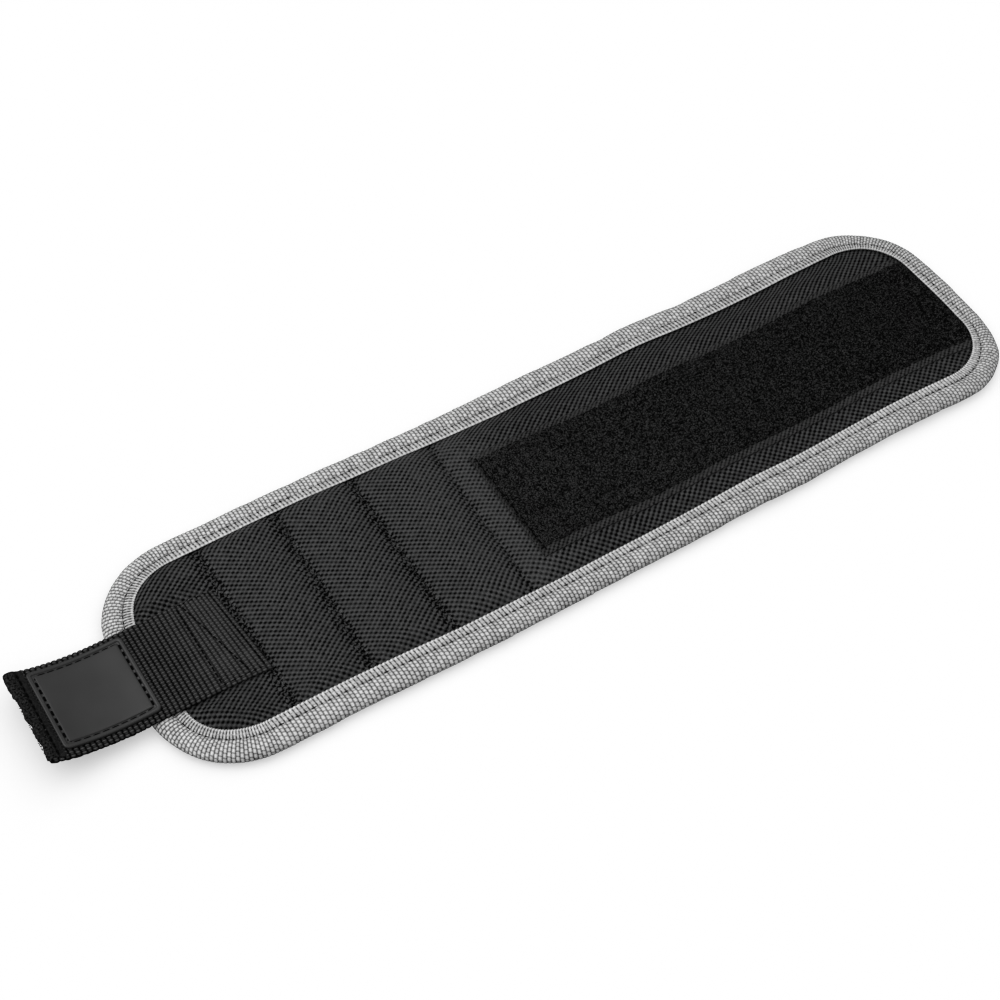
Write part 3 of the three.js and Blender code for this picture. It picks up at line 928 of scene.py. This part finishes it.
def binding_run(name, parts, first_rib, k, nodes):
    length, place = run_of(parts)
    ribs = max(2, int(round(length / RIB)))
    phase = (np.arange(ribs)[:, None] + np.array([0.0, 0.16, 0.38, 0.62, 0.84])[None, :]).ravel()
    phase = np.append(phase, float(ribs))
    p, n = place(phase * length / ribs)
    f = phase - np.floor(phase)
    crown = np.abs(np.sin(np.pi * f)) ** 0.6
    number = np.floor(phase + 1e-6)
    uneven = 0.85 + 0.3 * chance(number + first_rib, 0.0 * number, 3)
    flat_zone = smooth((profile[:, 0] - 6.0) / 2.0) * (profile[:, 1] > 2.7)  # ribs stand out more on the strip inside the sewing
    height = (crown - 0.62) * 0.20 * uneven
    stitch = np.sin(phase * length / ribs / 2.95 * 2 * np.pi)
    prof = profile[None] + outward[None] * (height[:, None] * (grip * (1 + 0.3 * flat_zone))[None, :])[..., None]
    d, z = prof[..., 0].copy(), prof[..., 1].copy()
    z[:, :] -= 0.10 * (bell(profile[:, 0], 7.45, 0.9) * (profile[:, 1] > 2.7))[None] * (1 + stitch[:, None])
    d[:, -1] += 0.10 * crown
    d[:, -2] += 0.05 * crown
    loose = 0.16 * lumps(phase / 9.0 + first_rib, 0 * phase, 12) + 0.14 * lumps(phase / 2.7 + first_rib, 0 * phase, 13)
    d += (loose[:, None]) * bell(profile[:, 0], 0.0, 4.0)[None]
    z = np.maximum(z, 0.01)
    inner = profile - outward * tape_wall
    outer = np.concatenate([p[:, None, :] - n[:, None, :] * d[..., None], z[..., None]], -1)
    inside = np.concatenate(
        [p[:, None, :] - n[:, None, :] * np.broadcast_to(inner[:, 0], d.shape)[..., None], np.broadcast_to(inner[:, 1], d.shape)[..., None]], -1
    )
    attr = np.stack(
        [
            np.broadcast_to((phase + first_rib)[:, None], d.shape),
            np.broadcast_to(np.minimum(across, across[-1] - across)[None], d.shape),
            np.broadcast_to(crown[:, None], d.shape),
        ],
        -1,
    )
    tape = Shell(warp(outer), warp(inside), attr, "tape")
    ob = tape.piece(name, 0, len(phase) - 1, [BINDING])
    bend(ob, k, "binding_tape", *nodes)
    # one row of lockstitch through both faces of the tape
    count = max(2, int(round(length / 2.95)))
    sp, sn = place(np.linspace(0, length, count + 1))
    for zz, up in ((4.70, 1.0), (0.30, -1.0)):
        pts = np.concatenate([sp - sn * (7.45 + 0.12 * np.sin(np.arange(count + 1) * 1.3))[:, None], np.full((count + 1, 1), zz)], 1)
        thread_sets[k].append(stitches(warp(pts), np.tile([0, 0, up], (count + 1, 1)), 0.24, 0.74, 0.04, 0.3, 1.0))
    return first_rib + ribs


rib = 0
for k in range(2, 9):
    a, b = EDGES[k - 1], EDGES[k]
    rib = binding_run(f"binding_tape_near_{k}", [("line", (a, -HALF_Y), (b, -HALF_Y), (0, -1))], rib, k, [f"binding_near_{k}"])
cx, cy, r = HALF_X - R_LOOP, HALF_Y - R_LOOP, R_LOOP
rib = binding_run(
    "binding_tape_loop_end",
    [
        ("line", (EDGES[8], -HALF_Y), (cx, -HALF_Y), (0, -1)),
        ("arc", (cx, -cy), r, -math.pi / 2, 0.0),
        ("line", (HALF_X, -cy), (HALF_X, cy), (1, 0)),
        ("arc", (cx, cy), r, 0.0, math.pi / 2),
        ("line", (cx, HALF_Y), (EDGES[8], HALF_Y), (0, 1)),
    ],
    rib,
    9,
    ["binding_near_9", "binding_far_9", "binding_loop_end"],
)
for k in range(8, 1, -1):
    a, b = EDGES[k], EDGES[k - 1]
    rib = binding_run(f"binding_tape_far_{k}", [("line", (a, HALF_Y), (b, HALF_Y), (0, 1))], rib, k, [f"binding_far_{k}"])
cx, cy, r = -HALF_X + R_TAB, HALF_Y - R_TAB, R_TAB
rib = binding_run(
    "binding_tape_tab_end",
    [
        ("line", (EDGES[1], HALF_Y), (cx, HALF_Y), (0, 1)),
        ("arc", (cx, cy), r, math.pi / 2, math.pi),
        ("line", (-HALF_X, cy), (-HALF_X, -cy), (-1, 0)),
        ("arc", (cx, -cy), r, math.pi, 1.5 * math.pi),
        ("line", (cx, -HALF_Y), (EDGES[1], -HALF_Y), (0, -1)),
    ],
    rib,
    1,
    ["binding_tab_end"],
)

# ---------------------------------------------------------------- loop panel
LOOP_X0, LOOP_X1, LOOP_NEAR, LOOP_FAR = -30.9, HALF_X - 9.2, -29.0, 21.0
px, loop_spans = stretch_columns(LOOP_X0, LOOP_X1, 0.42)
nj = 122
t = np.linspace(0, 1, nj)
limit = half_width(px, 9.2)
lo = np.maximum(LOOP_NEAR + 0.15 * np.sin(px / 17), -limit)
hi = np.minimum(LOOP_FAR + 0.12 * np.sin(px / 21 + 1), limit)
X = np.repeat(px[:, None], nj, 1)
Y = lo[:, None] + (hi - lo)[:, None] * t[None]
from_near, from_far = Y - (LOOP_NEAR), (LOOP_FAR) - Y
from_end = X - LOOP_X0
ragged = 0.55 * lumps(X / 0.9, Y / 0.9, 44)
pile = smooth((from_near - 2.8 + ragged) / 1.1) * smooth((from_far - 2.3 + ragged) / 1.1) * smooth((from_end - 0.3 + 0.5 * ragged) / 1.6)
rough = 0.20 * lumps(X / 1.0, Y / 1.0, 41) + 0.26 * lumps(X / 0.6, Y / 0.6, 42) + 0.06 * lumps(X / 2.4, Y / 2.4, 43)
base = cover_height(X, Y)
seam = bell(from_near, 3.0, 0.45) + bell(from_far, 2.4, 0.45)
tuck = smooth((inset_of(X, Y) - 10.0) / 2.5)
lift = 0.42 + pile * (0.68 + rough) - 0.18 * seam * smooth(from_end / 1.0)
lift = np.maximum(lift, 0.2) * (0.25 + 0.75 * tuck)
end_press = 1 - 0.35 * bell(from_end, 1.6, 0.7)
Z = base + 0.10 + lift * end_press
panel_top = np.stack([X, Y, Z], -1)
panel_low = np.stack([X, Y, base + 0.06], -1)
panel = Shell(warp(panel_top), warp(panel_low), np.stack([X, Y, np.clip(0.5 + rough, 0, 1) * pile], -1))
is_pile = (pile > 0.25).astype(int)


def pile_faces(i0, i1):
    return is_pile[i0:i1, :-1]


for k, (i0, i1) in loop_spans.items():
    ob = panel.piece(f"loop_tape_{k}", i0, i1, [SELVEDGE, PILE], pile_faces)
    bend(ob, k, "loop_pile", f"loop_panel_{k + 1}")


def panel_height(x, y):
    return cover_height(x, y) + 0.10 + 0.26


for k, (i0, i1) in loop_spans.items():
    a, b = px[i0], px[i1]
    count = max(1, int(round((b - a) / 3.0)))
    sx = np.linspace(a, b, count + 1)
    for y0 in (LOOP_NEAR + 3.0, LOOP_FAR - 2.4):
        keep = np.abs(y0) < half_width(sx, 11.0)
        use = sx[keep]
        if len(use) < 2:
            continue
        sy = np.full(len(use), y0) + 0.1 * np.sin(use / 3.1)
        pts = np.stack([use, sy, panel_height(use, sy)], 1)
        thread_sets[k].append(stitches(warp(pts), np.tile([0, 0, 1.0], (len(use), 1)), 0.22, 0.74, 0.05))
sy = steps(LOOP_NEAR + 1.2, LOOP_FAR - 1.0, 3.0)
sx = np.full(len(sy), LOOP_X0 + 1.7) + 0.1 * np.sin(sy / 2.7)
pts = np.stack([sx, sy, cover_height(sx, sy) + 0.10 + 0.85], 1)
thread_sets[4].append(stitches(warp(pts), np.tile([0, 0, 1.0], (len(sy), 1)), 0.22, 0.74, 0.02))

# ---------------------------------------------------------------- tab webbing
WEB_RIB, WEB_YARN, WEB_HALF, WEB_THICK = 1.78, 0.67, 19.0, 1.55
SPLIT_X = -150.0


def web_grid(x0, x1, skew_end):
    ribs = int(round(abs(x1 - x0) / WEB_RIB))
    ph = (np.arange(ribs)[:, None] + np.array([0.0, 0.14, 0.36, 0.64, 0.86])[None]).ravel()
    ph = np.append(ph, float(ribs))
    yarns = int(round(2 * WEB_HALF / WEB_YARN))
    pv = np.append((np.arange(yarns)[:, None] + np.array([0.0, 0.25, 0.5, 0.75])[None]).ravel(), float(yarns))
    U, V = np.meshgrid(ph, pv, indexing="ij")
    T = U / ribs
    Y = (V / yarns * 2 - 1) * WEB_HALF
    far = tab_end(Y) if skew_end else np.full_like(Y, x1)
    X = x0 + (far - x0) * T
    fu, fv = U - np.floor(U), V - np.floor(V)
    par = np.mod(np.floor(U + 1e-6) + np.floor(V + 1e-6), 2)
    cu, cv = np.abs(np.sin(np.pi * fu)), np.abs(np.sin(np.pi * fv))
    level = cu**0.7 * (0.45 + 0.55 * cv**0.7) * (0.58 + 0.42 * par)
    edge = np.clip(cu, 0, 1) ** 0.6
    side = smooth((np.abs(Y) - 17.2) / 1.6)
    crown = 1 - smooth((np.abs(Y) - 17.6) / 1.6)
    Y = Y + np.sign(Y) * 0.28 * (edge - 0.5) * side + tab_mid(X)
    return X, Y, level, crown


def web_surface(X, level, crown):
    top = tab_top(X) - 0.36 + 0.50 * level - 0.55 * (1 - crown)
    low = tab_top(X) - WEB_THICK - 0.06 + 0.30 * (1 - crown)
    return top, low


X, Y, level, crown = web_grid(SPLIT_X, -131.0, True)
end_gap = tab_end(Y) - X
# sewn lines press into the webbing: across at the start, a slanting one and one along the folded end
lines = bell(X, -147.2, 0.5) + bell(X - (-145.2 + (17 - Y) / 34 * 8.0), 0.0, 0.45) + bell(end_gap, 1.7, 0.5)
level = level * (1 - 0.30 * np.clip(lines, 0, 1))
top, low = web_surface(X, level, crown)
top = top - 0.14 * np.clip(lines, 0, 1) - 0.55 * smooth((1.1 - end_gap) / 1.1)
root = Shell(warp(np.stack([X, Y, top], -1)), warp(np.stack([X, Y, low], -1)), np.stack([X, Y, level], -1))
ob = root.piece("webbing_root", 0, X.shape[0] - 1, [WEBBING])
bend(ob, 1, "webbing", "tab_root")

X, Y, level, crown = web_grid(SPLIT_X, -205.4, False)
top, low = web_surface(X, level, crown)
free = Shell(
    warp(np.stack([X, Y, top], -1))[:, ::-1],
    warp(np.stack([X, Y, low], -1))[:, ::-1],
    np.stack([X, Y, level], -1)[:, ::-1],
)
ob = free.piece("webbing_free", 0, X.shape[0] - 1, [WEBBING])
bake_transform(ob)
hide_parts("tab_webbing")

# thread that holds the root on the cover
up = lambda n: np.tile([0, 0, 1.0], (n, 1))
for line in (
    [(-147.2, y) for y in steps(17.2, -17.2, 2.6)],
    [(-145.2 + (17 - y) / 34 * 8.0, y) for y in steps(17.0, -17.0, 2.7)],
    [(float(tab_end(np.array(y))) - 1.7, y) for y in steps(17.6, -17.6, 2.6)],
    [(x, 17.9) for x in steps(-147.2, -135.4, 2.6)],
    [(x, -17.9) for x in steps(-147.2, -131.9, 2.6)],
):
    pts = np.array([(x, y, float(tab_top(x)) - 0.26) for x, y in line])
    thread_sets[1].append(stitches(warp(pts), up(len(pts)), 0.24, 0.76, 0.06))

# ---------------------------------------------------------------- hook strip
HOOK_HALF, HOOK_X0, TIP = 18.4, -176.5, -206.0


def hook_path():
    """Outer line of the hook tape: along the underside, round the tip and a little way back on top."""
    xs_ = steps(HOOK_X0, TIP + 0.6, 0.5)
    under = np.stack([xs_, tab_top(xs_) - WEB_THICK - 0.12 - 0.62], 1)
    a = np.linspace(-math.pi / 2, math.pi / 2, 12)[1:-1]
    zc = float(tab_top(TIP + 0.6)) - WEB_THICK / 2
    r = WEB_THICK / 2 + 0.68
    tip = np.stack([TIP + 0.6 - np.cos(a) * r * 0.85, zc + np.sin(a) * r], 1)
    xt = steps(TIP + 0.6, -200.9, 0.4)
    over = np.stack([xt, tab_top(xt) + 0.60 - 0.15 * smooth((xt + 203.4) / 0.8)], 1)
    return np.concatenate([under, tip, over])


hp = hook_path()
seg = np.concatenate([[0], np.cumsum(np.linalg.norm(np.diff(hp, axis=0), axis=1))])
hs = steps(0, seg[-1], 0.42)
hp = np.stack([np.interp(hs, seg, hp[:, 0]), np.interp(hs, seg, hp[:, 1])], 1)
ht = np.gradient(hp, axis=0)
hn = np.stack([ht[:, 1], -ht[:, 0]], 1)
hn = hn / np.linalg.norm(hn, axis=1, keepdims=True)
if hn[0, 1] > 0:
    hn = -hn
hy = np.linspace(HOOK_HALF, -HOOK_HALF, 88)
S, Yh = np.meshgrid(hs, hy, indexing="ij")
plain = smooth((S - (hs[-1] - 2.6)) / 0.7)  # the tape's smooth selvedge lies next to the badge
over_ = hs > hs[-1] - 4.5
seat_ = bell(S, float(np.interp(-202.9, hp[over_, 0], hs[over_])), 0.45)  # the row of sewing presses the tape down
fray = (0.20 * lumps(S / 1.1, Yh / 1.1, 51) + 0.16 * lumps(S / 0.6, Yh / 0.6, 52)) * (1 - 0.85 * plain) * (0.35 + 0.65 * smooth((S - (hs[-1] - 12.0)) / 2.0)) - 0.42 * seat_
ragged = 1 - 0.2 * smooth((np.abs(Yh) - 17.4) / 1.0)
Yo = Yh + np.sign(Yh) * 0.35 * lumps(S / 1.3, np.sign(Yh), 53) * smooth((np.abs(Yh) - 17) / 1.4)
uneven_tip = smooth((S - (hs[-1] - 11.0)) / 2.0) * (1 - plain) * (0.70 * lumps(Yh / 3.2, 0 * Yh + 0.5, 54) + 0.25 * lumps(Yh / 1.3, 0 * Yh + 0.5, 55))
fray = fray + uneven_tip * np.clip(-hn[:, :1], 0, 1)
Xo = hp[:, :1] + hn[:, :1] * fray * ragged
Zo = hp[:, 1:] + hn[:, 1:] * fray * ragged
Yo = Yo + tab_mid(hp[:, :1])
outer = np.stack([Xo, Yo, Zo], -1)
inner = np.stack([np.broadcast_to(hp[:, :1] - hn[:, :1] * 0.5, S.shape), Yo, np.broadcast_to(hp[:, 1:] - hn[:, 1:] * 0.5, S.shape)], -1)
flip = np.cross(np.gradient(outer, axis=0)[5, 40], np.gradient(outer, axis=1)[5, 40])[2] > 0
if flip:
    outer, inner, S2, Y2 = outer[:, ::-1], inner[:, ::-1], S[:, ::-1], Yh[:, ::-1]
else:
    S2, Y2 = S, Yh
zone = seat_ + 2 * plain
hook = Shell(outer, inner, np.stack([S2, Y2, zone[:, ::-1] if flip else zone], -1))
ob = hook.piece("hook_tape", 0, len(hs) - 1, [HOOK])
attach(ob, "tab")
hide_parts("hook_strip")

# the hooks: bent bristles standing on the tape
gs, gy = np.meshgrid(np.arange(1.0, hs[-1] - 3.2, 1.25), np.arange(-17.4, 17.5, 1.25), indexing="ij")
gs, gy = gs.ravel(), gy.ravel()
gs = gs + 0.35 * (chance(gs, gy, 61) - 0.5)
gy = gy + 0.35 * (chance(gs, gy, 62) - 0.5)
tall = np.where(gs > hs[-1] - 9.5, 0.16, 0.31)  # flattened where the tape turns over the tip
tall = tall * (0.85 + 0.3 * chance(gs, gy, 63))
bx, bz = np.interp(gs, hs, hp[:, 0]), np.interp(gs, hs, hp[:, 1])
bnx, bnz = np.interp(gs, hs, hn[:, 0]), np.interp(gs, hs, hn[:, 1])
btx, btz = np.interp(gs, hs, ht[:, 0]), np.interp(gs, hs, ht[:, 1])
bl = np.hypot(btx, btz)
btx, btz = btx / bl, btz / bl
turn = np.where(chance(gs, gy, 64) > 0.5, 1.0, -1.0)
prof_h = np.array([-0.1, 0.45, 0.85, 1.0, 0.82, 0.6])
prof_t = np.array([0.0, 0.02, 0.14, 0.36, 0.56, 0.58])
n, m, sides = len(gs), len(prof_h), 5
ang = np.linspace(0, 2 * np.pi, sides, endpoint=False)
cen = np.stack(
    [
        bx[:, None] + bnx[:, None] * prof_h * tall[:, None] + btx[:, None] * prof_t * 0.7 * turn[:, None],
        np.broadcast_to((gy + tab_mid(bx))[:, None], (n, m)),
        bz[:, None] + bnz[:, None] * prof_h * tall[:, None] + btz[:, None] * prof_t * 0.7 * turn[:, None],
    ],
    -1,
)
dirn = np.gradient(cen, axis=1)
dirn = dirn / np.maximum(np.linalg.norm(dirn, axis=2, keepdims=True), 1e-9)
e1 = np.broadcast_to(np.array([0.0, 1.0, 0.0]), dirn.shape)
e2 = np.cross(dirn, e1)
rad = 0.11 * np.array([1.2, 1.0, 1.0, 1.0, 0.9, 0.6])
v = cen[:, :, None] + rad[None, :, None, None] * (np.cos(ang)[None, None, :, None] * e1[:, :, None] + np.sin(ang)[None, None, :, None] * e2[:, :, None])
idx = np.arange(n * m * sides).reshape(n, m, sides)
nxt = np.roll(idx, -1, 2)
quads = np.stack([idx[:, :-1], nxt[:, :-1], nxt[:, 1:], idx[:, 1:]], -1).reshape(-1, 4)
caps = []
for ring, back in ((idx[:, 0], True), (idx[:, -1], False)):
    for k in range(1, sides - 1):
        tri = np.stack([ring[:, 0], ring[:, k], ring[:, k + 1]], 1)
        caps.append(tri[:, ::-1] if back else tri)
attr = np.stack([v[..., 0], v[..., 1], v[..., 2]], -1).reshape(-1, 3)
ob = build("hook_bristles", v.reshape(-1, 3), quads, None, {"cloth": attr}, None, [HOOK], None, np.concatenate(caps))
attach(ob, "tab")

# ---------------------------------------------------------------- badge
BX0, BX1, BHALF, BR = -200.45, -167.7, 16.3, 1.7


def badge_ring(inset, per_side=26, per_corner=9):
    x0, x1, yy = BX0 + inset, BX1 - inset, BHALF - inset
    r = max(BR - inset * 0.72, 0.28)
    pts = []
    for cx_, cy_, a0 in ((x1 - r, yy - r, 0.0), (x0 + r, yy - r, 90.0), (x0 + r, -yy + r, 180.0), (x1 - r, -yy + r, 270.0)):
        for a in np.radians(np.linspace(a0, a0 + 90, per_corner)):
            pts.append((cx_ + r * math.cos(a), cy_ + r * math.sin(a)))
    out = []
    for c in range(4):
        corner = pts[c * per_corner : (c + 1) * per_corner]
        out += corner
        a, b = corner[-1], pts[((c + 1) % 4) * per_corner]
        for t_ in np.linspace(0, 1, per_side + 2)[1:-1]:
            out.append((a[0] + (b[0] - a[0]) * t_, a[1] + (b[1] - a[1]) * t_))
    out = np.array(out)
    out[:, 1] += tab_mid(out[:, 0]) - 0.1
    return out


badge_steps = [
    (0.10, 0.0),
    (0.0, 0.10),
    (0.0, 0.72),
    (0.06, 0.98),
    (0.22, 1.16),
    (0.45, 1.25),
    (0.75, 1.27),
    (1.05, 1.22),
    (1.25, 1.10),
    (1.34, 0.92),
    (1.40, 0.70),
    (1.55, 0.60),
    (2.05, 0.60),
    (2.20, 0.68),
    (2.25, 0.92),
    (2.32, 1.06),
    (2.50, 1.13),
    (3.0, 1.16),
    (5.0, 1.17),
    (7.5, 1.17),
    (10.0, 1.17),
    (12.5, 1.17),
    (14.6, 1.17),
]
rings = []
for inset, h in badge_steps:
    p = badge_ring(inset)
    rings.append(np.stack([p[:, 0], p[:, 1], tab_top(p[:, 0]) + 0.14 + h], 1))
rings = np.array(rings)
nr, nc = rings.shape[:2]
v = rings.reshape(-1, 3)
idx = np.arange(nr * nc).reshape(nr, nc)
nxt = np.roll(idx, -1, 1)
quads = np.stack([idx[:-1], nxt[:-1], nxt[1:], idx[1:]], -1).reshape(-1, 4)
mid_top = np.array([[(BX0 + BX1) / 2, 0.6, float(tab_top((BX0 + BX1) / 2)) + 0.14 + 1.17]])
mid_low = np.array([[(BX0 + BX1) / 2, 0.6, float(tab_top((BX0 + BX1) / 2)) + 0.14]])
v = np.concatenate([v, mid_top, mid_low])
tris = np.concatenate(
    [
        np.stack([idx[-1], nxt[-1], np.full(nc, nr * nc)], 1),
        np.stack([nxt[0], idx[0], np.full(nc, nr * nc + 1)], 1),
    ]
)
ob = build("badge_plate", v, quads, None, {"cloth": v.copy()}, None, [BADGE], None, tris)
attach(ob, "tab")
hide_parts("badge")

tab_thread = []
seat = badge_ring(1.80)
gap = np.linalg.norm(np.diff(np.vstack([seat, seat[:1]]), axis=0), axis=1)
at = np.concatenate([[0], np.cumsum(gap)])
count = int(round(at[-1] / 3.1))
want = np.linspace(0, at[-1], count + 1)
loop = np.vstack([seat, seat[:1]])
sp = np.stack([np.interp(want, at, loop[:, 0]), np.interp(want, at, loop[:, 1])], 1)
pts = np.stack([sp[:, 0], sp[:, 1], tab_top(sp[:, 0]) + 0.14 + 0.60], 1)
run = np.abs(np.diff(pts, axis=0))
for on_end in (True, False):
    for a in range(len(pts) - 1):
        if (run[a, 1] > run[a, 0]) == on_end:
            tab_thread.append(stitches(pts[a : a + 2], up(2), 0.33 if on_end else 0.18, 0.68 if on_end else 0.86, 0.10 if on_end else 0.0, 0.22))
sy = steps(17.6, -17.6, 2.8)
pts = np.stack([np.full(len(sy), -202.9) + 0.1 * np.sin(sy), sy + float(tab_mid(-202.9)), np.full(len(sy), float(tab_top(-202.9)) + 0.30)], 1)
tab_thread.append(stitches(pts, up(len(sy)), 0.27, 0.80, 0.10, 0.3, 0.6))
v, qd, tr, at_ = join(tab_thread)
ob = build("tab_thread", v, qd, None, {"twist": at_}, None, [THREAD], None, tr)
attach(ob, "tab")

# ---------------------------------------------------------------- thread of the band
for k in STRETCHES:
    v, qd, tr, at_ = join(thread_sets[k])
    ob = build(f"sewing_thread_{k}", v, qd, None, {"twist": at_}, None, [THREAD], None, tr)
    bend(ob, k, "thread")

# ---------------------------------------------------------------- magnets, sealed in the channels
for name, node in frame["nodes"].items():
    if name.startswith("magnet_"):
        node.data.materials.clear()
        node.data.materials.append(NICKEL)

# ---------------------------------------------------------------- floor, light, camera
me = bpy.data.meshes.new("floor")
s = 4.0
me.from_pydata([(-s, -s, -0.0003), (s, -s, -0.0003), (s, s, -0.0003), (-s, s, -0.0003)], [], [(0, 1, 2, 3)])
floor = bpy.data.objects.new("floor", me)
bpy.context.scene.collection.objects.link(floor)
k = Look("pale_floor")
k.set(Base_Color=(0.9, 0.9, 0.9, 1.0), Roughness=0.9)
me.materials.append(k.mat)
floor.is_shadow_catcher = True
floor.visible_diffuse = False
floor.visible_glossy = False
# the surface stays under the band's lowest point when the band is closed round or the tab swings down
for body, point in (("tab", (-207.0, 0.0, 12.8)), ("tab", (-176.0, 0.0, 7.2)), ("band_1", (-150.0, 0.0, 8.2)), ("band_10", (150.0, 0.0, 8.2))):
    mark = bpy.data.objects.new(f"mark_{body}", None)
    bpy.context.scene.collection.objects.link(mark)
    mark.parent = frame["bodies"][body]
    mark.location = [MM * c for c in point]
    under_it = floor.constraints.new("FLOOR")
    under_it.target = mark
    under_it.floor_location = "FLOOR_NEGATIVE_Z"
    under_it.offset = -0.0008


def lamp(name, place, aim, size, watts):
    data = bpy.data.lights.new(name, "AREA")
    data.shape = "RECTANGLE"
    data.size, data.size_y = size
    data.energy = watts
    ob = bpy.data.objects.new(name, data)
    ob.location = place
    ob.rotation_mode = "QUATERNION"
    ob.rotation_quaternion = (Vector(aim) - Vector(place)).to_track_quat("-Z", "Y")
    bpy.context.scene.collection.objects.link(ob)
    return ob


lamp("key", (-0.56, 0.20, 0.78), (-0.06, 0.0, 0.0), (0.9, 0.9), 10.5)
lamp("side", (0.85, 0.30, 0.60), (0.0, 0.0, 0.0), (0.8, 0.8), 2.8)
lamp("fill", (0.25, -0.90, 0.55), (0.0, 0.0, 0.0), (1.0, 0.6), 2.5)
# a wash on the surface alone keeps the shadow under the band faint
wash = lamp("wash", (0.0, 0.0, 1.2), (0.0, 0.0, 0.0), (3.0, 3.0), 500.0)
only_floor = bpy.data.collections.new("surface_only")
only_floor.objects.link(floor)
wash.light_linking.receiver_collection = only_floor
wash.light_linking.blocker_collection = only_floor

world = bpy.data.worlds.new("studio")
bpy.context.scene.world = world
world.use_nodes = True
nt = world.node_tree
nt.nodes.clear()
out = nt.nodes.new("ShaderNodeOutputWorld")
mixer = nt.nodes.new("ShaderNodeMixShader")
path = nt.nodes.new("ShaderNodeLightPath")
soft = nt.nodes.new("ShaderNodeBackground")
soft.inputs["Color"].default_value = (1.0, 1.0, 1.0, 1.0)
soft.inputs["Strength"].default_value = 0.34
paper = nt.nodes.new("ShaderNodeBackground")
paper.inputs["Color"].default_value = (1.0, 1.0, 1.0, 1.0)
paper.inputs["Strength"].default_value = 1.0
nt.links.new(path.outputs["Is Camera Ray"], mixer.inputs["Fac"])
nt.links.new(soft.outputs[0], mixer.inputs[1])
nt.links.new(paper.outputs[0], mixer.inputs[2])
nt.links.new(mixer.outputs[0], out.inputs["Surface"])

cam = bpy.data.cameras.new("camera")
cam.lens = 66.854
cam.sensor_width = 36.0
cam.clip_start, cam.clip_end = 0.01, 20.0
eye = bpy.data.objects.new("camera", cam)
bpy.context.scene.collection.objects.link(eye)
right, up_, back = (0.8503, -0.5263, 0.0), (0.4159, 0.6719, 0.6128), (-0.3225, -0.5211, 0.7902)
turn_ = Matrix((right, up_, back)).transposed()
eye.matrix_world = Matrix.Translation((-0.23983, -0.33771, 0.51850)) @ turn_.to_quaternion().to_matrix().to_4x4()
bpy.context.scene.camera = eye
bpy.context.scene.view_settings.view_transform = "Standard"
